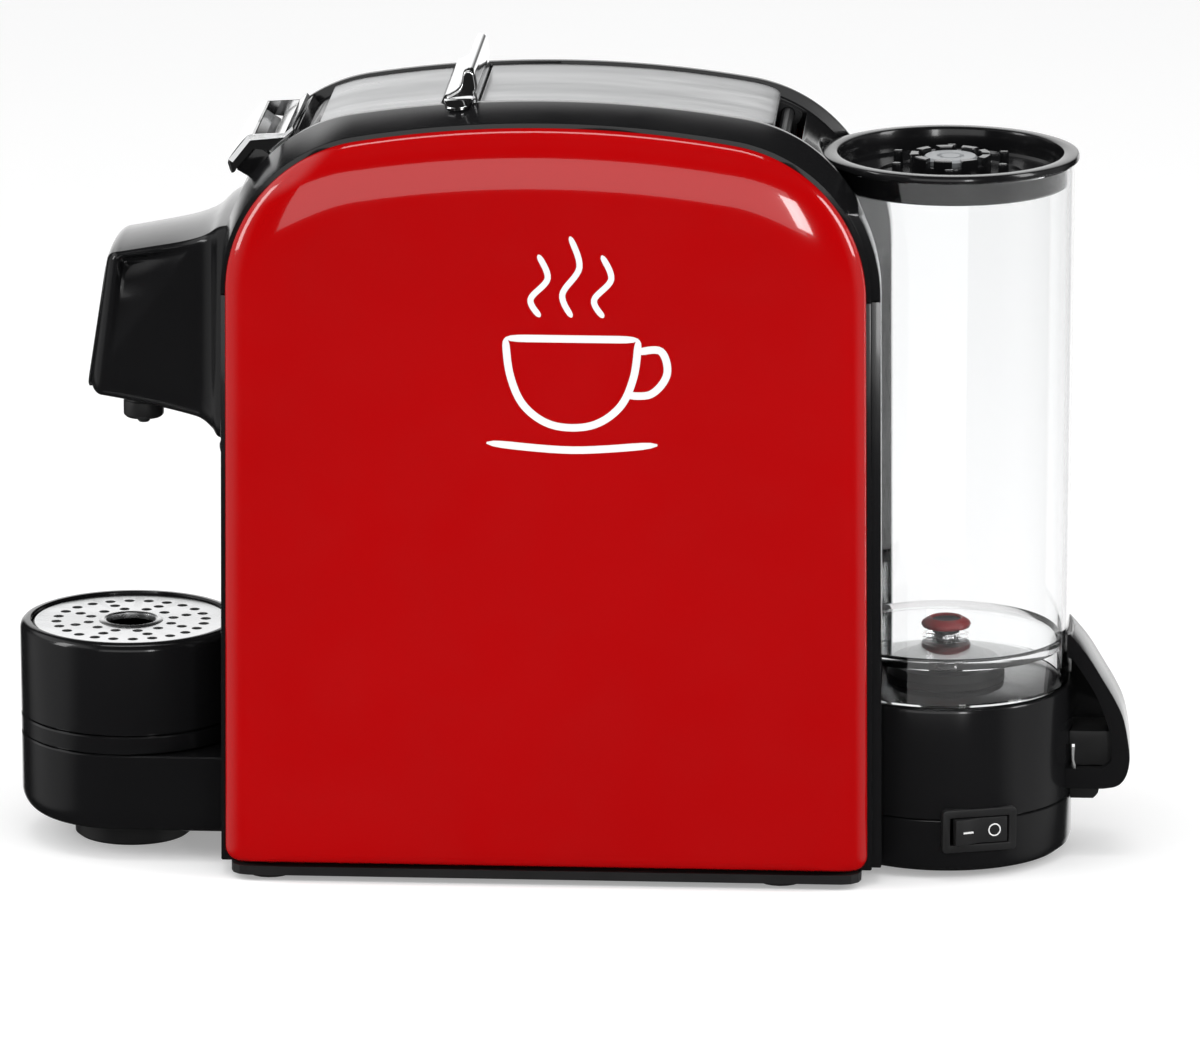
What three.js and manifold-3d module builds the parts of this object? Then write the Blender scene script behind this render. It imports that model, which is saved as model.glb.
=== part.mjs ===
import * as THREE from "three";
import { mergeVertices } from "three/addons/utils/BufferGeometryUtils.js";
import Module from "manifold-3d";

// Pod coffee machine, in millimetres. +X runs from the spout to the water tank, +Y to the far side
// panel and +Z up. The origin is on the worktop, under the middle of the whole machine.

// Fits
const gap = 0.3; // between fixed pieces that touch
const slideGap = 0.6; // round a piece that moves
const wall = 2.5; // moulded walls

// Body, seen from the side: straight sides that flare to the floor, round shoulders, crowned top
const bodyMidX = -6;
const archHalf = 101.3; // half length at the shoulders
const archFlare = 1.7; // how much further out the sides are at the floor
const archTop = 245.9;
const shoulderDrop = 54.3; // from the top down to the shoulder arcs' centres
const shoulderRadius = 50;
const bodyBottom = 5;
const plateBottom = 1.8;

// Body, seen from the front
const coreHalf = 49.7; // casing between the side panels
const panelDepth = 8;
const panelCrown = 17; // width of the rounded border of a side panel
const panelFoot = 4.5; // the same along its lower edge
const lipProud = 1.4; // casing edge round a side panel
const railWide = 3; // the raised rails beside the top plates
const railSide = 2.5; // how far the rails stand out at the sides and at the top
const railTop = 5.1;
const railLift = 5;
const recessDepth = 3; // top plates sit this far below the rails
const plateThick = 2;
const seamDrop = 55; // the casing's seam below the top

// Front
const spoutDrop = 106.8; // from the top of the body down to the nozzle
const nozzleRadius = 6.5;
const nozzleReach = 31.7; // nozzle axis ahead of the body
const nozzleTipRadius = 2;
const nozzleTipDrop = 1.8;
const drumRadius = 36;
const cupTop = 72;
const cupHeight = 30.5;
const trayRing = 5.9;
const trayBottom = 8.4;
const trayFootRadius = 19;
const cupRim = 3.8; // width of the cup's rim round the grille
const grilleThick = 2;
const binHalf = 28;
const binShort = 2.3; // the drawer ends this far ahead of the slot's rear wall

// Tank
const tankStandOff = 25; // tank axis behind the side panels
const baseRadius = 41.1;
const baseHeight = 56;
const baseSeam = 19.5;
const tubeStep = 1.35; // the tube stands in from the base's edge
const tubeWall = 2.2;
const tankTop = 227.4;
const tankFloor = 68;
const floorThick = 2.6;
const rimThick = 2.3;
const lidSkirt = 7.6;
const valveRadius = 8;

// Rocker switch
const rockerTurn = THREE.MathUtils.degToRad(17);
const rockerZ = 16.1;
const bezelWidth = 24.5;
const bezelHeight = 14.1;
const rockerWidth = 19.5;
const rockerHeight = 9;
const rockerTilt = THREE.MathUtils.degToRad(8);

// Lever
const leverRearIn = 30.3; // rear edge ahead of the body's end
const gripAhead = 3.4; // fin ahead of the lever plate
const gripHeight = 9.6; // above the rails
const pinRadius = 2;
const pinBehind = 2.5; // behind the lever plate
const pinDrop = 9.4; // below the top of the body
const crankThick = 4;
const crankSide = 2; // room beside the cranks

// Brewing group
const leverAhead = 4; // the lever's front edge ahead of the capsule slot
const slotLength = 34;
const slotHalf = 20;
const yokeThick = 3;
const pistonReach = 12; // how far the piston stands in the slot
const boilerRadius = 21;
const boilerBehind = 10.5; // behind the capsule chute
const boilerAhead = 13.4; // ahead of the tank's cradle

// Worked out from the sizes above
const shoulderZ = archTop - shoulderDrop;
const frontX = bodyMidX - archHalf;
const tankX = bodyMidX + archHalf + tankStandOff;
const drumX = frontX - drumRadius - 0.7;
const spoutZ = archTop - spoutDrop;
const nozzleX = frontX - nozzleReach;
const binBottom = cupTop + 2.4;
const binTop = spoutZ - 4.8;
const panelIn = coreHalf + gap;
const panelOut = panelIn + panelDepth;
const cradleRadius = baseRadius + 0.8;
const pinZ = archTop - pinDrop;
const seamZ = archTop - seamDrop;
const cupBottom = cupTop - cupHeight;
const ringBottom = cupBottom - gap - trayRing;
const grilleRadius = drumRadius - cupRim - gap;
const tubeRadius = baseRadius - tubeStep;
const leverRear = bodyMidX + archHalf - leverRearIn;
const pinX = leverRear + pinBehind;
const boilerX = tankX - cradleRadius - boilerAhead - boilerRadius;
const slotRear = boilerX - boilerRadius - boilerBehind - wall;
const slotX = [slotRear - slotLength, slotRear];
const leverFront = slotX[0] - leverAhead;
const gripX = leverFront - gripAhead;
const yokeIn = slotHalf + wall + 1.5;
const yokeY = [yokeIn, yokeIn + yokeThick];
const crankOut = yokeIn + crankThick / 2;
const wellHalf = crankOut + crankSide;
const railInner = wellHalf + 3;
const railOuter = railInner + railWide;
const pumpX = [boilerX - 22, boilerX + 12];

const wasm = await Module();
wasm.setup();

// ---- Shapes ----

function facingOut(geometry) {
  const bare = new THREE.BufferGeometry();
  const loose = geometry.index ? geometry.toNonIndexed() : geometry;
  bare.setAttribute("position", loose.getAttribute("position").clone());
  const merged = mergeVertices(bare, 1e-4);
  const { array } = merged.attributes.position;
  const faces = [];
  let volume = 0;
  for (let i = 0; i < merged.index.count; i += 3) {
    const [a, b, c] = [0, 1, 2].map((k) => merged.index.getX(i + k));
    if (a === b || b === c || a === c) continue;
    const [p, q, r] = [a, b, c].map((v) => new THREE.Vector3().fromArray(array, v * 3));
    volume += p.dot(q.cross(r));
    faces.push([a, b, c]);
  }
  if (volume < 0) faces.forEach((face) => face.reverse());
  return { vertProperties: array, triVerts: new Uint32Array(faces.flat()) };
}

function solid(shape) {
  if (!shape.isBufferGeometry) return shape;
  return new wasm.Manifold(new wasm.Mesh({ numProp: 3, ...facingOut(shape) }));
}

const join = (first, ...rest) => rest.reduce((sum, s) => sum.add(solid(s)), solid(first));
const cut = (first, ...tools) => tools.reduce((sum, s) => sum.subtract(solid(s)), solid(first));
const common = (a, b) => solid(a).intersect(solid(b));

function geometryOf(shape) {
  const mesh = solid(shape).getMesh();
  const geometry = new THREE.BufferGeometry();
  const points = new Float32Array(mesh.numVert * 3);
  for (let i = 0; i < mesh.numVert; i++) {
    points.set(mesh.vertProperties.subarray(i * mesh.numProp, i * mesh.numProp + 3), i * 3);
  }
  geometry.setAttribute("position", new THREE.BufferAttribute(points, 3));
  geometry.setIndex(new THREE.BufferAttribute(mesh.triVerts, 1));
  return geometry;
}

const moved = (shape, x, y, z) => geometryOf(shape).translate(x, y, z);
const mirroredY = (shape) => geometryOf(shape).scale(1, -1, 1);

function block([x0, x1], [y0, y1], [z0, z1]) {
  const box = new THREE.BoxGeometry(x1 - x0, y1 - y0, z1 - z0);
  return box.translate((x0 + x1) / 2, (y0 + y1) / 2, (z0 + z1) / 2);
}

function extruded(outline, depth) {
  return new THREE.ExtrudeGeometry(new THREE.Shape(outline), { depth, bevelEnabled: false });
}

// An outline in X and Z, drawn across the machine from y0 to y1.
const across = (outline, y0, y1) =>
  extruded(outline, y1 - y0).rotateX(Math.PI / 2).translate(0, y1, 0);

// An outline in X and Y, standing from z0 to z1.
const upright = (outline, z0, z1) => extruded(outline, z1 - z0).translate(0, 0, z0);

// A profile of [radius, z] pairs, turned about Z.
function turned(profile, sides) {
  const points = profile.map(([r, z]) => new THREE.Vector2(r, z));
  return new THREE.LatheGeometry(points, sides).rotateX(Math.PI / 2);
}

const disc = (radius, z0, z1, sides) => turned([[0, z0], [radius, z0], [radius, z1], [0, z1]], sides);

const ring = (inner, outer, z0, z1, sides) =>
  turned([[inner, z0], [outer, z0], [outer, z1], [inner, z1], [inner, z0]], sides);

// A round bar along X or Y.
const barX = (radius, x0, x1, sides) => disc(radius, x0, x1, sides).rotateY(Math.PI / 2);
const barY = (radius, y0, y1, sides) => disc(radius, -y1, -y0, sides).rotateX(Math.PI / 2);

// A skin through rings that all have the same number of points, closed at both ends.
function loft(rings) {
  const count = rings[0].length;
  const points = rings.flat();
  const faces = [];
  for (let r = 0; r + 1 < rings.length; r++) {
    for (let i = 0; i < count; i++) {
      const a = r * count + i;
      const b = r * count + ((i + 1) % count);
      faces.push(a, b, b + count, a, b + count, a + count);
    }
  }
  for (const [ringIndex, turn] of [[0, false], [rings.length - 1, true]]) {
    const middle = new THREE.Vector3();
    rings[ringIndex].forEach((p) => middle.addScaledVector(p, 1 / count));
    points.push(middle);
    for (let i = 0; i < count; i++) {
      const a = ringIndex * count + i;
      const b = ringIndex * count + ((i + 1) % count);
      faces.push(...(turn ? [a, b, points.length - 1] : [b, a, points.length - 1]));
    }
  }
  return new THREE.BufferGeometry().setFromPoints(points).setIndex(faces);
}

function arc(cx, cy, radius, from, to, steps) {
  return Array.from({ length: steps + 1 }, (_, i) => {
    const angle = from + ((to - from) * i) / steps;
    return new THREE.Vector2(cx + radius * Math.cos(angle), cy + radius * Math.sin(angle));
  });
}

const outlineOf = (pairs) => pairs.map(([x, y]) => new THREE.Vector2(x, y));

const mirroredOutline = (pairs) => outlineOf([...pairs, ...pairs.map(([x, y]) => [x, -y]).reverse()]);

// ---- The body's side outline ----

// Grown by side and top, with the shoulder arcs' centres lifted, down to a rounded lower edge.
function arch(side, top = side, lift = 0, bottom = bodyBottom, foot = 0.5) {
  const half = archHalf + side;
  const radius = shoulderRadius + top - lift;
  const centreZ = shoulderZ + lift;
  const offset = half - radius;
  const rise = archTop + top - centreZ;
  const crown = (offset ** 2 + rise ** 2 - radius ** 2) / (2 * (rise - radius));
  const crownZ = archTop + top - crown;
  const meet = Math.atan2(centreZ - crownZ, offset);
  const footX = half + (archFlare * (centreZ - bottom)) / shoulderZ - foot;
  const x = (value) => bodyMidX + value;
  return [
    ...arc(x(footX), bottom + foot, foot, -Math.PI / 2, 0, 2),
    ...arc(x(offset), centreZ, radius, 0, meet, 9),
    ...arc(x(0), crownZ, crown, meet, Math.PI - meet, 14).slice(1, -1),
    ...arc(x(-offset), centreZ, radius, Math.PI - meet, Math.PI, 9),
    ...arc(x(-footX), bottom + foot, foot, Math.PI, 1.5 * Math.PI, 2),
  ];
}

const railArch = (grow = 0) => arch(railSide + grow, railTop + grow, railLift);
const atY = (outline, y) => outline.map((p) => new THREE.Vector3(p.x, y, p.y));

// ---- The machine ----

const machine = new THREE.Group();
const paint = (color, roughness, metalness = 0, opacity = 1) =>
  new THREE.MeshStandardMaterial({ color, roughness, metalness, opacity, transparent: opacity < 1 });

const gloss = paint(0x0c0c0d, 0.15);
const matte = paint(0x151516, 0.55);
const red = paint(0xb0060a, 0.12);
const silver = paint(0xc4c6c8, 0.35, 0.8);
const chrome = paint(0xe6e7e8, 0.06, 1);
const steel = paint(0xb9bbbd, 0.3, 1);
const clear = paint(0xf2f6f7, 0.05, 0, 0.3);
const rubber = paint(0x101010, 0.9);
const pearl = paint(0xf0f0ee, 0.2);
const redSeal = paint(0xa8141a, 0.35);
const grey = paint(0x8d9092, 0.4);
const copper = paint(0x9a5a34, 0.4, 0.8);
const green = paint(0x1c5a36, 0.6);
const silicone = paint(0xd9dad6, 0.6);

function add(name, shape, material, group = machine) {
  const mesh = new THREE.Mesh(geometryOf(shape), material);
  mesh.name = name;
  group.add(mesh);
}

const tank = new THREE.Group();
tank.position.x = tankX;
const drum = new THREE.Group();
drum.position.x = drumX;
machine.add(tank, drum);

// ---- Centre casing ----

const cradleCut = (grow) => moved(disc(cradleRadius + grow, -5, archTop + 60, 56), tankX, 0, 0);
const drumCut = (grow) =>
  moved(disc(drumRadius + slideGap + grow, ringBottom - gap, binBottom - slideGap, 40), drumX, 0, 0);

const core = loft([
  atY(arch(lipProud), -coreHalf),
  atY(railArch(), -railOuter),
  atY(railArch(), railOuter),
  atY(arch(lipProud), coreHalf),
]);

// The sunk deck between the rails, for the top plates
const deckArch = (grow = 0) => railArch(grow - recessDepth);
const deckCut = common(
  cut(across(railArch(20), -railInner, railInner), across(deckArch(), -railOuter, railOuter)),
  join(
    block([frontX - 30, bodyMidX], [-railInner, railInner], [archTop - 22, archTop + 40]),
    block([bodyMidX - 1, tankX], [-railInner, railInner], [shoulderZ + 12, archTop + 40]),
  ),
);

const floorZ = bodyBottom + wall;
const hollow = cut(
  across(arch(-wall, -wall, 0, floorZ, 1), -coreHalf - 5, coreHalf + 5),
  cradleCut(wall),
  drumCut(1.2),
);

// Capsule slot under the lever, and the chute below it
const chuteBottom = binTop + 16;
const pistonZ = archTop - 46;

// Lever hinge well and its pin
const hingeWell = block([pinX - 12, pinX + 6], [-wellHalf, wellHalf], [pinZ - 12, archTop + 20]);
const pinBore = moved(barY(pinRadius + gap, -railInner, railInner, 16), pinX, 0, pinZ);

// Frame of the button pod, standing square to the shoulder arc
const podAngle = THREE.MathUtils.degToRad(131.6);
const podTurn = Math.PI / 2 - podAngle;
const railRadius = shoulderRadius + railTop - railLift;
const podPlace = new THREE.Matrix4().makeRotationY(podTurn).setPosition(
  bodyMidX - (archHalf + railSide - railRadius) + railRadius * Math.cos(podAngle),
  0,
  shoulderZ + railLift + railRadius * Math.sin(podAngle),
);
const inPod = (shape) => geometryOf(shape).applyMatrix4(podPlace);
const podHalf = railInner - 3;
const rimWide = 2;
const lipThick = 1.6;
const podStand = outlineOf([
  [-11, -9], [-14.6, 2.4], [-12.9, 4.6], [-5.2, 5.9], [-3.6, -0.5], [9, -0.5], [9, -9],
]);
const buttonX = [-3, 4.6];
const buttonHalf = podHalf - rimWide - gap;
const buttonTravel = 1.8;
const buttonPocket = block(
  [buttonX[0] - gap, buttonX[1] + gap],
  [-buttonHalf - gap, buttonHalf + gap],
  [-0.6 - buttonTravel - 1.6, 20],
);
const podSeat = block([-20, 9.5], [-podHalf - gap, podHalf + gap], [-0.5 + gap, 20]);

const inletHole = barX(4.6, tankX - baseRadius - 12, tankX, 12).translate(0, 0, baseHeight - 18);
const headHole = block([frontX - 10, frontX + 12], [-12, 12], [spoutZ + 22, spoutZ + 48]);
const drawerHole = block(
  [frontX - 10, frontX + 12],
  [-binHalf - slideGap, binHalf + slideGap],
  [binBottom - slideGap, binTop + slideGap],
);

const casing = cut(
  join(
    cut(core, deckCut, hollow, cradleCut(0), drumCut(0), hingeWell, pinBore,
      inPod(podSeat)),
    common(inPod(across(podStand, -podHalf + rimWide + gap, podHalf - rimWide - gap)),
      block([frontX - 20, 0], [-coreHalf, coreHalf], [shoulderZ, archTop + 20])),
  ),
  inPod(buttonPocket),
  block(slotX, [-slotHalf, slotHalf], [archTop - 25, archTop + 20]),
  inletHole,
  headHole,
  drawerHole,
);
const everywhere = [-400, 400];
add("top_casing", cut(casing, block(everywhere, everywhere, [-50, seamZ + gap / 2])), gloss);

const corners = [-1, 1].flatMap((sx) => [-1, 1].map((sy) => [sx, sy]));
const screwSpots = corners.map(([sx, sy]) => [bodyMidX + sx * (archHalf - 22), sy * (coreHalf - 11.7)]);
const screwHoles = screwSpots.map(([x, y]) => moved(disc(2.1, -1, floorZ + 1, 10), x, y, 0));
add(
  "lower_casing",
  cut(casing, block(everywhere, everywhere, [seamZ - gap / 2, 500]), ...screwHoles),
  gloss,
);

// ---- Side panels ----

function panelRings(shrink, fromY, toY) {
  const steps = 4;
  return Array.from({ length: steps + 1 }, (_, i) => {
    const turn = (i / steps) * (Math.PI / 2);
    const crown = panelCrown * (1 - Math.cos(turn)) + shrink;
    const footIn = panelFoot * (1 - Math.cos(turn)) + shrink;
    const y = fromY + (toY - fromY) * Math.sin(turn);
    return atY(arch(-crown, -crown, 0, bodyBottom + footIn, 5), y);
  });
}
const panel = cut(
  loft(panelRings(0, panelIn, panelOut)),
  loft(panelRings(wall, panelIn, panelOut - wall)),
  across(arch(-wall, -wall, 0, bodyBottom + wall, 5), panelIn - 1, panelIn + 0.01),
);
add("right_side_panel", panel, red);
add("left_side_panel", mirroredY(panel), red);

// ---- Base plate, screws and feet ----

const plateHalf = archHalf + archFlare - 2;
const plateCorners = [[1, -1], [1, 1], [-1, 1], [-1, -1]];
const plateOutline = plateCorners.flatMap(([sx, sy], i) =>
  arc(bodyMidX + sx * (plateHalf - 6), sy * (panelOut - 2.5 - 6), 6,
    (i - 1) * (Math.PI / 2), i * (Math.PI / 2), 3),
);
const screwHeadTop = plateBottom + 1.4;
add(
  "base_plate",
  cut(
    upright(plateOutline, plateBottom, bodyBottom - gap),
    cradleCut(0),
    ...screwHoles,
    ...screwSpots.map(([x, y]) => moved(disc(3.9, -1, screwHeadTop + gap, 12), x, y, 0)),
  ),
  matte,
);
screwSpots.forEach(([x, y], i) => {
  const screw = turned(
    [[0, plateBottom], [3.5, plateBottom], [3.5, screwHeadTop], [1.8, screwHeadTop], [1.8, floorZ + 4],
      [0, floorZ + 4]],
    12,
  );
  add("base_screw_" + (i + 1), screw.translate(x, y, 0), steel);
});
corners.forEach(([sx, sy], i) => {
  const foot = turned([[0, 0], [7, 0], [8, plateBottom - gap], [0, plateBottom - gap]], 18);
  const footX = bodyMidX + sx * (plateHalf - 12) + (sx > 0 ? -14 : 0);
  add("rubber_foot_" + (i + 1), foot.translate(footX, sy * (panelOut - 13), 0), rubber);
});

// ---- Brew head ----

const headPoint = ([dx, dz]) => new THREE.Vector2(frontX + dx, spoutZ + dz);
const headSide = [
  [-1, 71.5], [-4.4, 70.4], [-6.6, 67.7], [-10, 65.7], [-18.1, 63], [-27.9, 61], [-37.7, 58.6],
  [-41.2, 56.6], [-43.3, 50.6], [-45.4, 38], [-47.4, 14.8], [-46.6, 10.4], [-43.6, 6.9], [-38.4, 5.7],
  [-12.5, 2.4], [-8, 0.8], [-6.1, -1.1], [-1, -1.1],
].map(headPoint);
const planOf = (pairs) => mirroredOutline(pairs.map(([dx, y]) => [frontX + dx, y]));
const headPlan = planOf([
  [-47.6, 6], [-46, 13], [-43, 18.5], [-39, 21.5], [-25, 22.3], [-17, 23.2], [-11, 25.5], [-7.5, 29],
  [-5.5, 33], [-1, 33],
]);
const headHollow = common(
  across([
    [-5, 62.5], [-20, 59.5], [-36, 55.5], [-39.6, 50], [-42, 38], [-43.8, 16], [-41, 10.4], [-36, 9],
    [-12, 6.2], [-5, 6],
  ].map(headPoint), -40, 40),
  upright(planOf([[-44, 6], [-42, 12.5], [-39, 16.5], [-35, 18.2], [-17, 19.8], [-10, 22], [-5, 23]]),
    spoutZ - 20, spoutZ + 90),
);
const headOuter = common(
  across(headSide, -40, 40),
  upright(headPlan, spoutZ - 20, spoutZ + 90),
);
const headBody = cut(headOuter, across(railArch(gap), -60, 60));
const facePlate = 1.5;
const faceHalf = 17;
const faceBlock = (depth, margin) => cut(
  block([frontX - 60, frontX - 38], [-faceHalf + margin, faceHalf - margin],
    [spoutZ + 12 + margin, spoutZ + 55 - margin]),
  moved(headOuter, depth, 0, 0),
);
add("head_front_plate", common(headOuter, faceBlock(facePlate, gap)), gloss);
add(
  "brew_head",
  cut(
    headBody,
    faceBlock(facePlate + gap, 0),
    headHollow,
    block([frontX - 12, frontX + 5], [-14, 14], [spoutZ + 20, spoutZ + 50]),
    moved(disc(nozzleRadius + gap, spoutZ - 10, spoutZ + 20, 20), nozzleX, 0, 0),
  ),
  gloss,
);
const nozzleBore = nozzleTipRadius + gap;
const nozzleTop = spoutZ + 14;
add(
  "spout_nozzle",
  moved(ring(nozzleBore, nozzleRadius, spoutZ, nozzleTop, 20), nozzleX, 0, 0),
  matte,
);
add(
  "spout_tip",
  moved(disc(nozzleTipRadius, spoutZ - nozzleTipDrop, nozzleTop - 2, 12), nozzleX, 0, 0),
  matte,
);

// ---- Top plates, button pod and lever ----

const topPlate = (x0, x1) => common(
  cut(
    across(deckArch(plateThick + gap), -railInner + gap, railInner - gap),
    across(deckArch(gap), -railOuter, railOuter),
  ),
  block([x0, x1], [-railInner, railInner], [shoulderZ, archTop + 40]),
);
const plateFront = frontX + 28.3;
const gripRoot = [leverFront - 12, leverFront - gap];
add("front_top_plate", topPlate(plateFront, gripRoot[0] - gap), silver);

const lip = outlineOf([
  [-16.5, 2.8], [-14.4, 6.7], [-4.2, 8.5], [-3.6, 8.5 - lipThick], [-13.5, 5], [-15, 2.8],
]);
const rim = outlineOf([
  [-16.5, 2.8], [-14.4, 6.7], [-4.2, 8.5], [4.9, 1.2], [8.2, 1.2], [8.2, 0.1], [-2, 0.1], [-5.6, 4.2],
  [-13.4, 3.2], [-15, 2.8],
]);
add("button_bezel", inPod(join(
  across(lip, -podHalf, podHalf),
  across(rim, podHalf - rimWide, podHalf),
  across(rim, -podHalf, -podHalf + rimWide),
  block([buttonX[1] + gap, 8.2], [-podHalf, podHalf], [0.1, 1.2]),
)), chrome);
const buttonFace = outlineOf([
  [buttonX[0], -2], [buttonX[1], -2], [buttonX[1], 1.2], [(buttonX[0] + buttonX[1]) / 2, 1.9],
  [buttonX[0], 1.2],
]);
add("start_button", inPod(across(buttonFace, -buttonHalf, buttonHalf)), pearl);

add("lever_plate", topPlate(leverFront, leverRear), silver);
const railZ = archTop + railTop;
const gripOutline = [
  ...outlineOf([
    [gripRoot[0], railZ - 2.6], [gripRoot[1], railZ - 2.6], [gripRoot[1], railZ - 1.2],
    [gripX + 2.7, railZ + 3],
  ]),
  ...arc(gripX, railZ + gripHeight - 2, 2, 0, Math.PI, 6),
  ...outlineOf([[gripX - 2.9, railZ + 3], [gripRoot[0] + 2.6, railZ + 0.4], [gripRoot[0], railZ - 1.2]]),
];
// Tab that laps over a rail and on to the sloping band outside it
const bandDrop = (railTop - lipProud) / (coreHalf - railOuter);
const tabRing = (y, narrow, drop) => atY(outlineOf([
  [gripRoot[0] + 0.8 + narrow, railZ - drop], [gripRoot[1] - 1.6 - narrow, railZ - drop],
  [gripRoot[1] - 1.6 - narrow, railZ - drop + 1], [gripRoot[0] + 0.8 + narrow, railZ - drop + 1],
]), y);
const tabEnd = railOuter + 6.5;
const tab = loft([
  tabRing(railInner - 3, 0, 0.3), tabRing(railOuter, 0.2, 0.3), tabRing(tabEnd, 2, bandDrop * 6.5 - 0.1),
]);
add("lever_grip", cut(
  join(across(gripOutline, -railInner + gap, railInner - gap), tab, mirroredY(tab)),
  across(deckArch(gap), -railInner, railInner),
  loft([
    atY(arch(lipProud + gap, lipProud + gap), -coreHalf), atY(railArch(gap), -railOuter),
    atY(railArch(gap), -railInner + 0.01),
  ]),
  loft([
    atY(railArch(gap), railInner - 0.01), atY(railArch(gap), railOuter),
    atY(arch(lipProud + gap, lipProud + gap), coreHalf),
  ]),
), chrome);

// Two ears carry the lever on its pin, and a crank under each one draws the brewing piston
const crankLength = 14;
const crankY = [crankOut - crankThick, crankOut];
const earOutline = [
  ...arc(pinX, pinZ, 4.6, -Math.PI / 2, Math.PI / 2.6, 6),
  ...outlineOf([[leverRear - 1, pinZ + 4.2], [leverRear - 8, pinZ + 5.4], [leverRear - 8, pinZ + 1]]),
];
const crankOutline = outlineOf([
  [pinX - 3, pinZ], [pinX - 2.5, pinZ - crankLength], [pinX + 2.5, pinZ - crankLength], [pinX + 3, pinZ],
]);
const ear = cut(
  join(across(earOutline, ...crankY), across(crankOutline, ...crankY)),
  moved(barY(pinRadius + gap, 0, 60, 16), pinX, 0, pinZ),
  cut(across(railArch(20), 0, 60), across(deckArch(), -1, 61)),
);
add("lever_ear_right", ear, matte);
add("lever_ear_left", mirroredY(ear), matte);
add("lever_pin", moved(barY(pinRadius, -railInner + 0.5, railInner - 0.5, 16), pinX, 0, pinZ), steel);

// ---- Brewing group ----

const chuteZ = [chuteBottom, archTop - 4];
const pistonRadius = 14;
const pistonFace = slotX[0] + pistonReach;
const pistonLength = 46;
const chute = cut(
  block([slotX[0] - wall, slotX[1] + wall], [-slotHalf - wall, slotHalf + wall], chuteZ),
  block(slotX, [-slotHalf, slotHalf], [0, 500]),
  barX(pistonRadius + slideGap, slotX[0] - 10, slotX[0] + 5, 24).translate(0, 0, pistonZ),
  cut(across(arch(20), -60, 60), across(arch(-wall - gap), -61, 61)),
);
add("capsule_chute", chute, matte);
const pistonBack = pistonFace - pistonLength;
add("brew_piston", barX(pistonRadius, pistonBack, pistonFace, 24).translate(0, 0, pistonZ), steel);
add(
  "piston_guide",
  cut(
    barX(pistonRadius + slideGap + wall, pistonBack + 18, slotX[0] - wall - gap, 24)
      .translate(0, 0, pistonZ),
    barX(pistonRadius + slideGap, pistonBack - 10, 0, 24).translate(0, 0, pistonZ),
  ),
  matte,
);
const yokeZ = [pinZ - crankLength - 1, pinZ - crankLength + 5];
const yokeX = pistonBack - gap;
const yokeArm = block([yokeX - yokeThick, pinX - 8], yokeY, yokeZ);
add(
  "piston_yoke",
  join(
    block([yokeX - yokeThick, yokeX], [-yokeY[1], yokeY[1]], [pistonZ - 8, yokeZ[1]]),
    yokeArm,
    mirroredY(yokeArm),
  ),
  steel,
);
const boilerZ = [pistonZ - 75, pistonZ - 12];
add("boiler", moved(turned([
  [0, boilerZ[0]], [boilerRadius - 3, boilerZ[0]], [boilerRadius, boilerZ[0] + 3],
  [boilerRadius, boilerZ[1] - 3], [boilerRadius - 3, boilerZ[1]], [0, boilerZ[1]],
], 24), boilerX, 0, 0), steel);
const pumpZ = floorZ + 32;
add("pump_coil", block(pumpX, [-17, 17], [floorZ + gap, pumpZ + 18]), copper);
add("pump_body", barX(11, pumpX[0] - 44, pumpX[0] - gap, 20).translate(0, 0, pumpZ), matte);
add(
  "control_board",
  block([frontX + 20, frontX + 78], [-30, 30], [floorZ + 5, floorZ + 6.6]),
  green,
);
add(
  "board_relay",
  block([frontX + 30, frontX + 50], [-8, 8], [floorZ + 6.6 + gap, floorZ + 24]),
  matte,
);

// A hose through a few points, with an eight-sided section
function hose(points, radius, steps) {
  const path = new THREE.CatmullRomCurve3(points.map((p) => new THREE.Vector3(...p)));
  const section = new THREE.Shape(arc(0, 0, radius, 0, 2 * Math.PI, 8).slice(0, -1));
  return new THREE.ExtrudeGeometry(section, { steps, extrudePath: path, bevelEnabled: false });
}
const hoseRadius = 3;
const inletZ = baseHeight - 18;
add("inlet_hose", hose([
  [tankX, 0, baseHeight - 7], [tankX - 3, 0, inletZ + 3], [tankX - 14, 0, inletZ],
  [tankX - 34, 0, inletZ], [pumpX[1] + gap + 2, 0, inletZ], [pumpX[1] + gap, 0, inletZ],
], hoseRadius, 16), silicone);
add("pressure_hose", hose([
  [boilerX, 0, pumpZ + 18 + gap], [boilerX + 1, 0, (pumpZ + 18 + boilerZ[0]) / 2],
  [boilerX, 0, boilerZ[0] - gap],
], hoseRadius, 6), silicone);
add("boiler_outlet", hose([
  [boilerX, 0, boilerZ[1] + gap], [boilerX, 0, boilerZ[1] + 4], [boilerX - 4, 0, boilerZ[1] + 9],
  [boilerX - 14, 0, boilerZ[1] + 12],
  [slotX[1] + wall + gap, 0, boilerZ[1] + 12],
], hoseRadius, 10), silicone);
add("coffee_duct", hose([
  [slotX[0] - wall - gap, 0, spoutZ + 28], [frontX + 20, 0, spoutZ + 30], [frontX - 14, 0, spoutZ + 28],
  [nozzleX + 5, 0, spoutZ + 26], [nozzleX, 0, spoutZ + 20], [nozzleX, 0, nozzleTop + gap],
], hoseRadius, 20), silicone);

// ---- Drawer for used capsules ----

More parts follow.
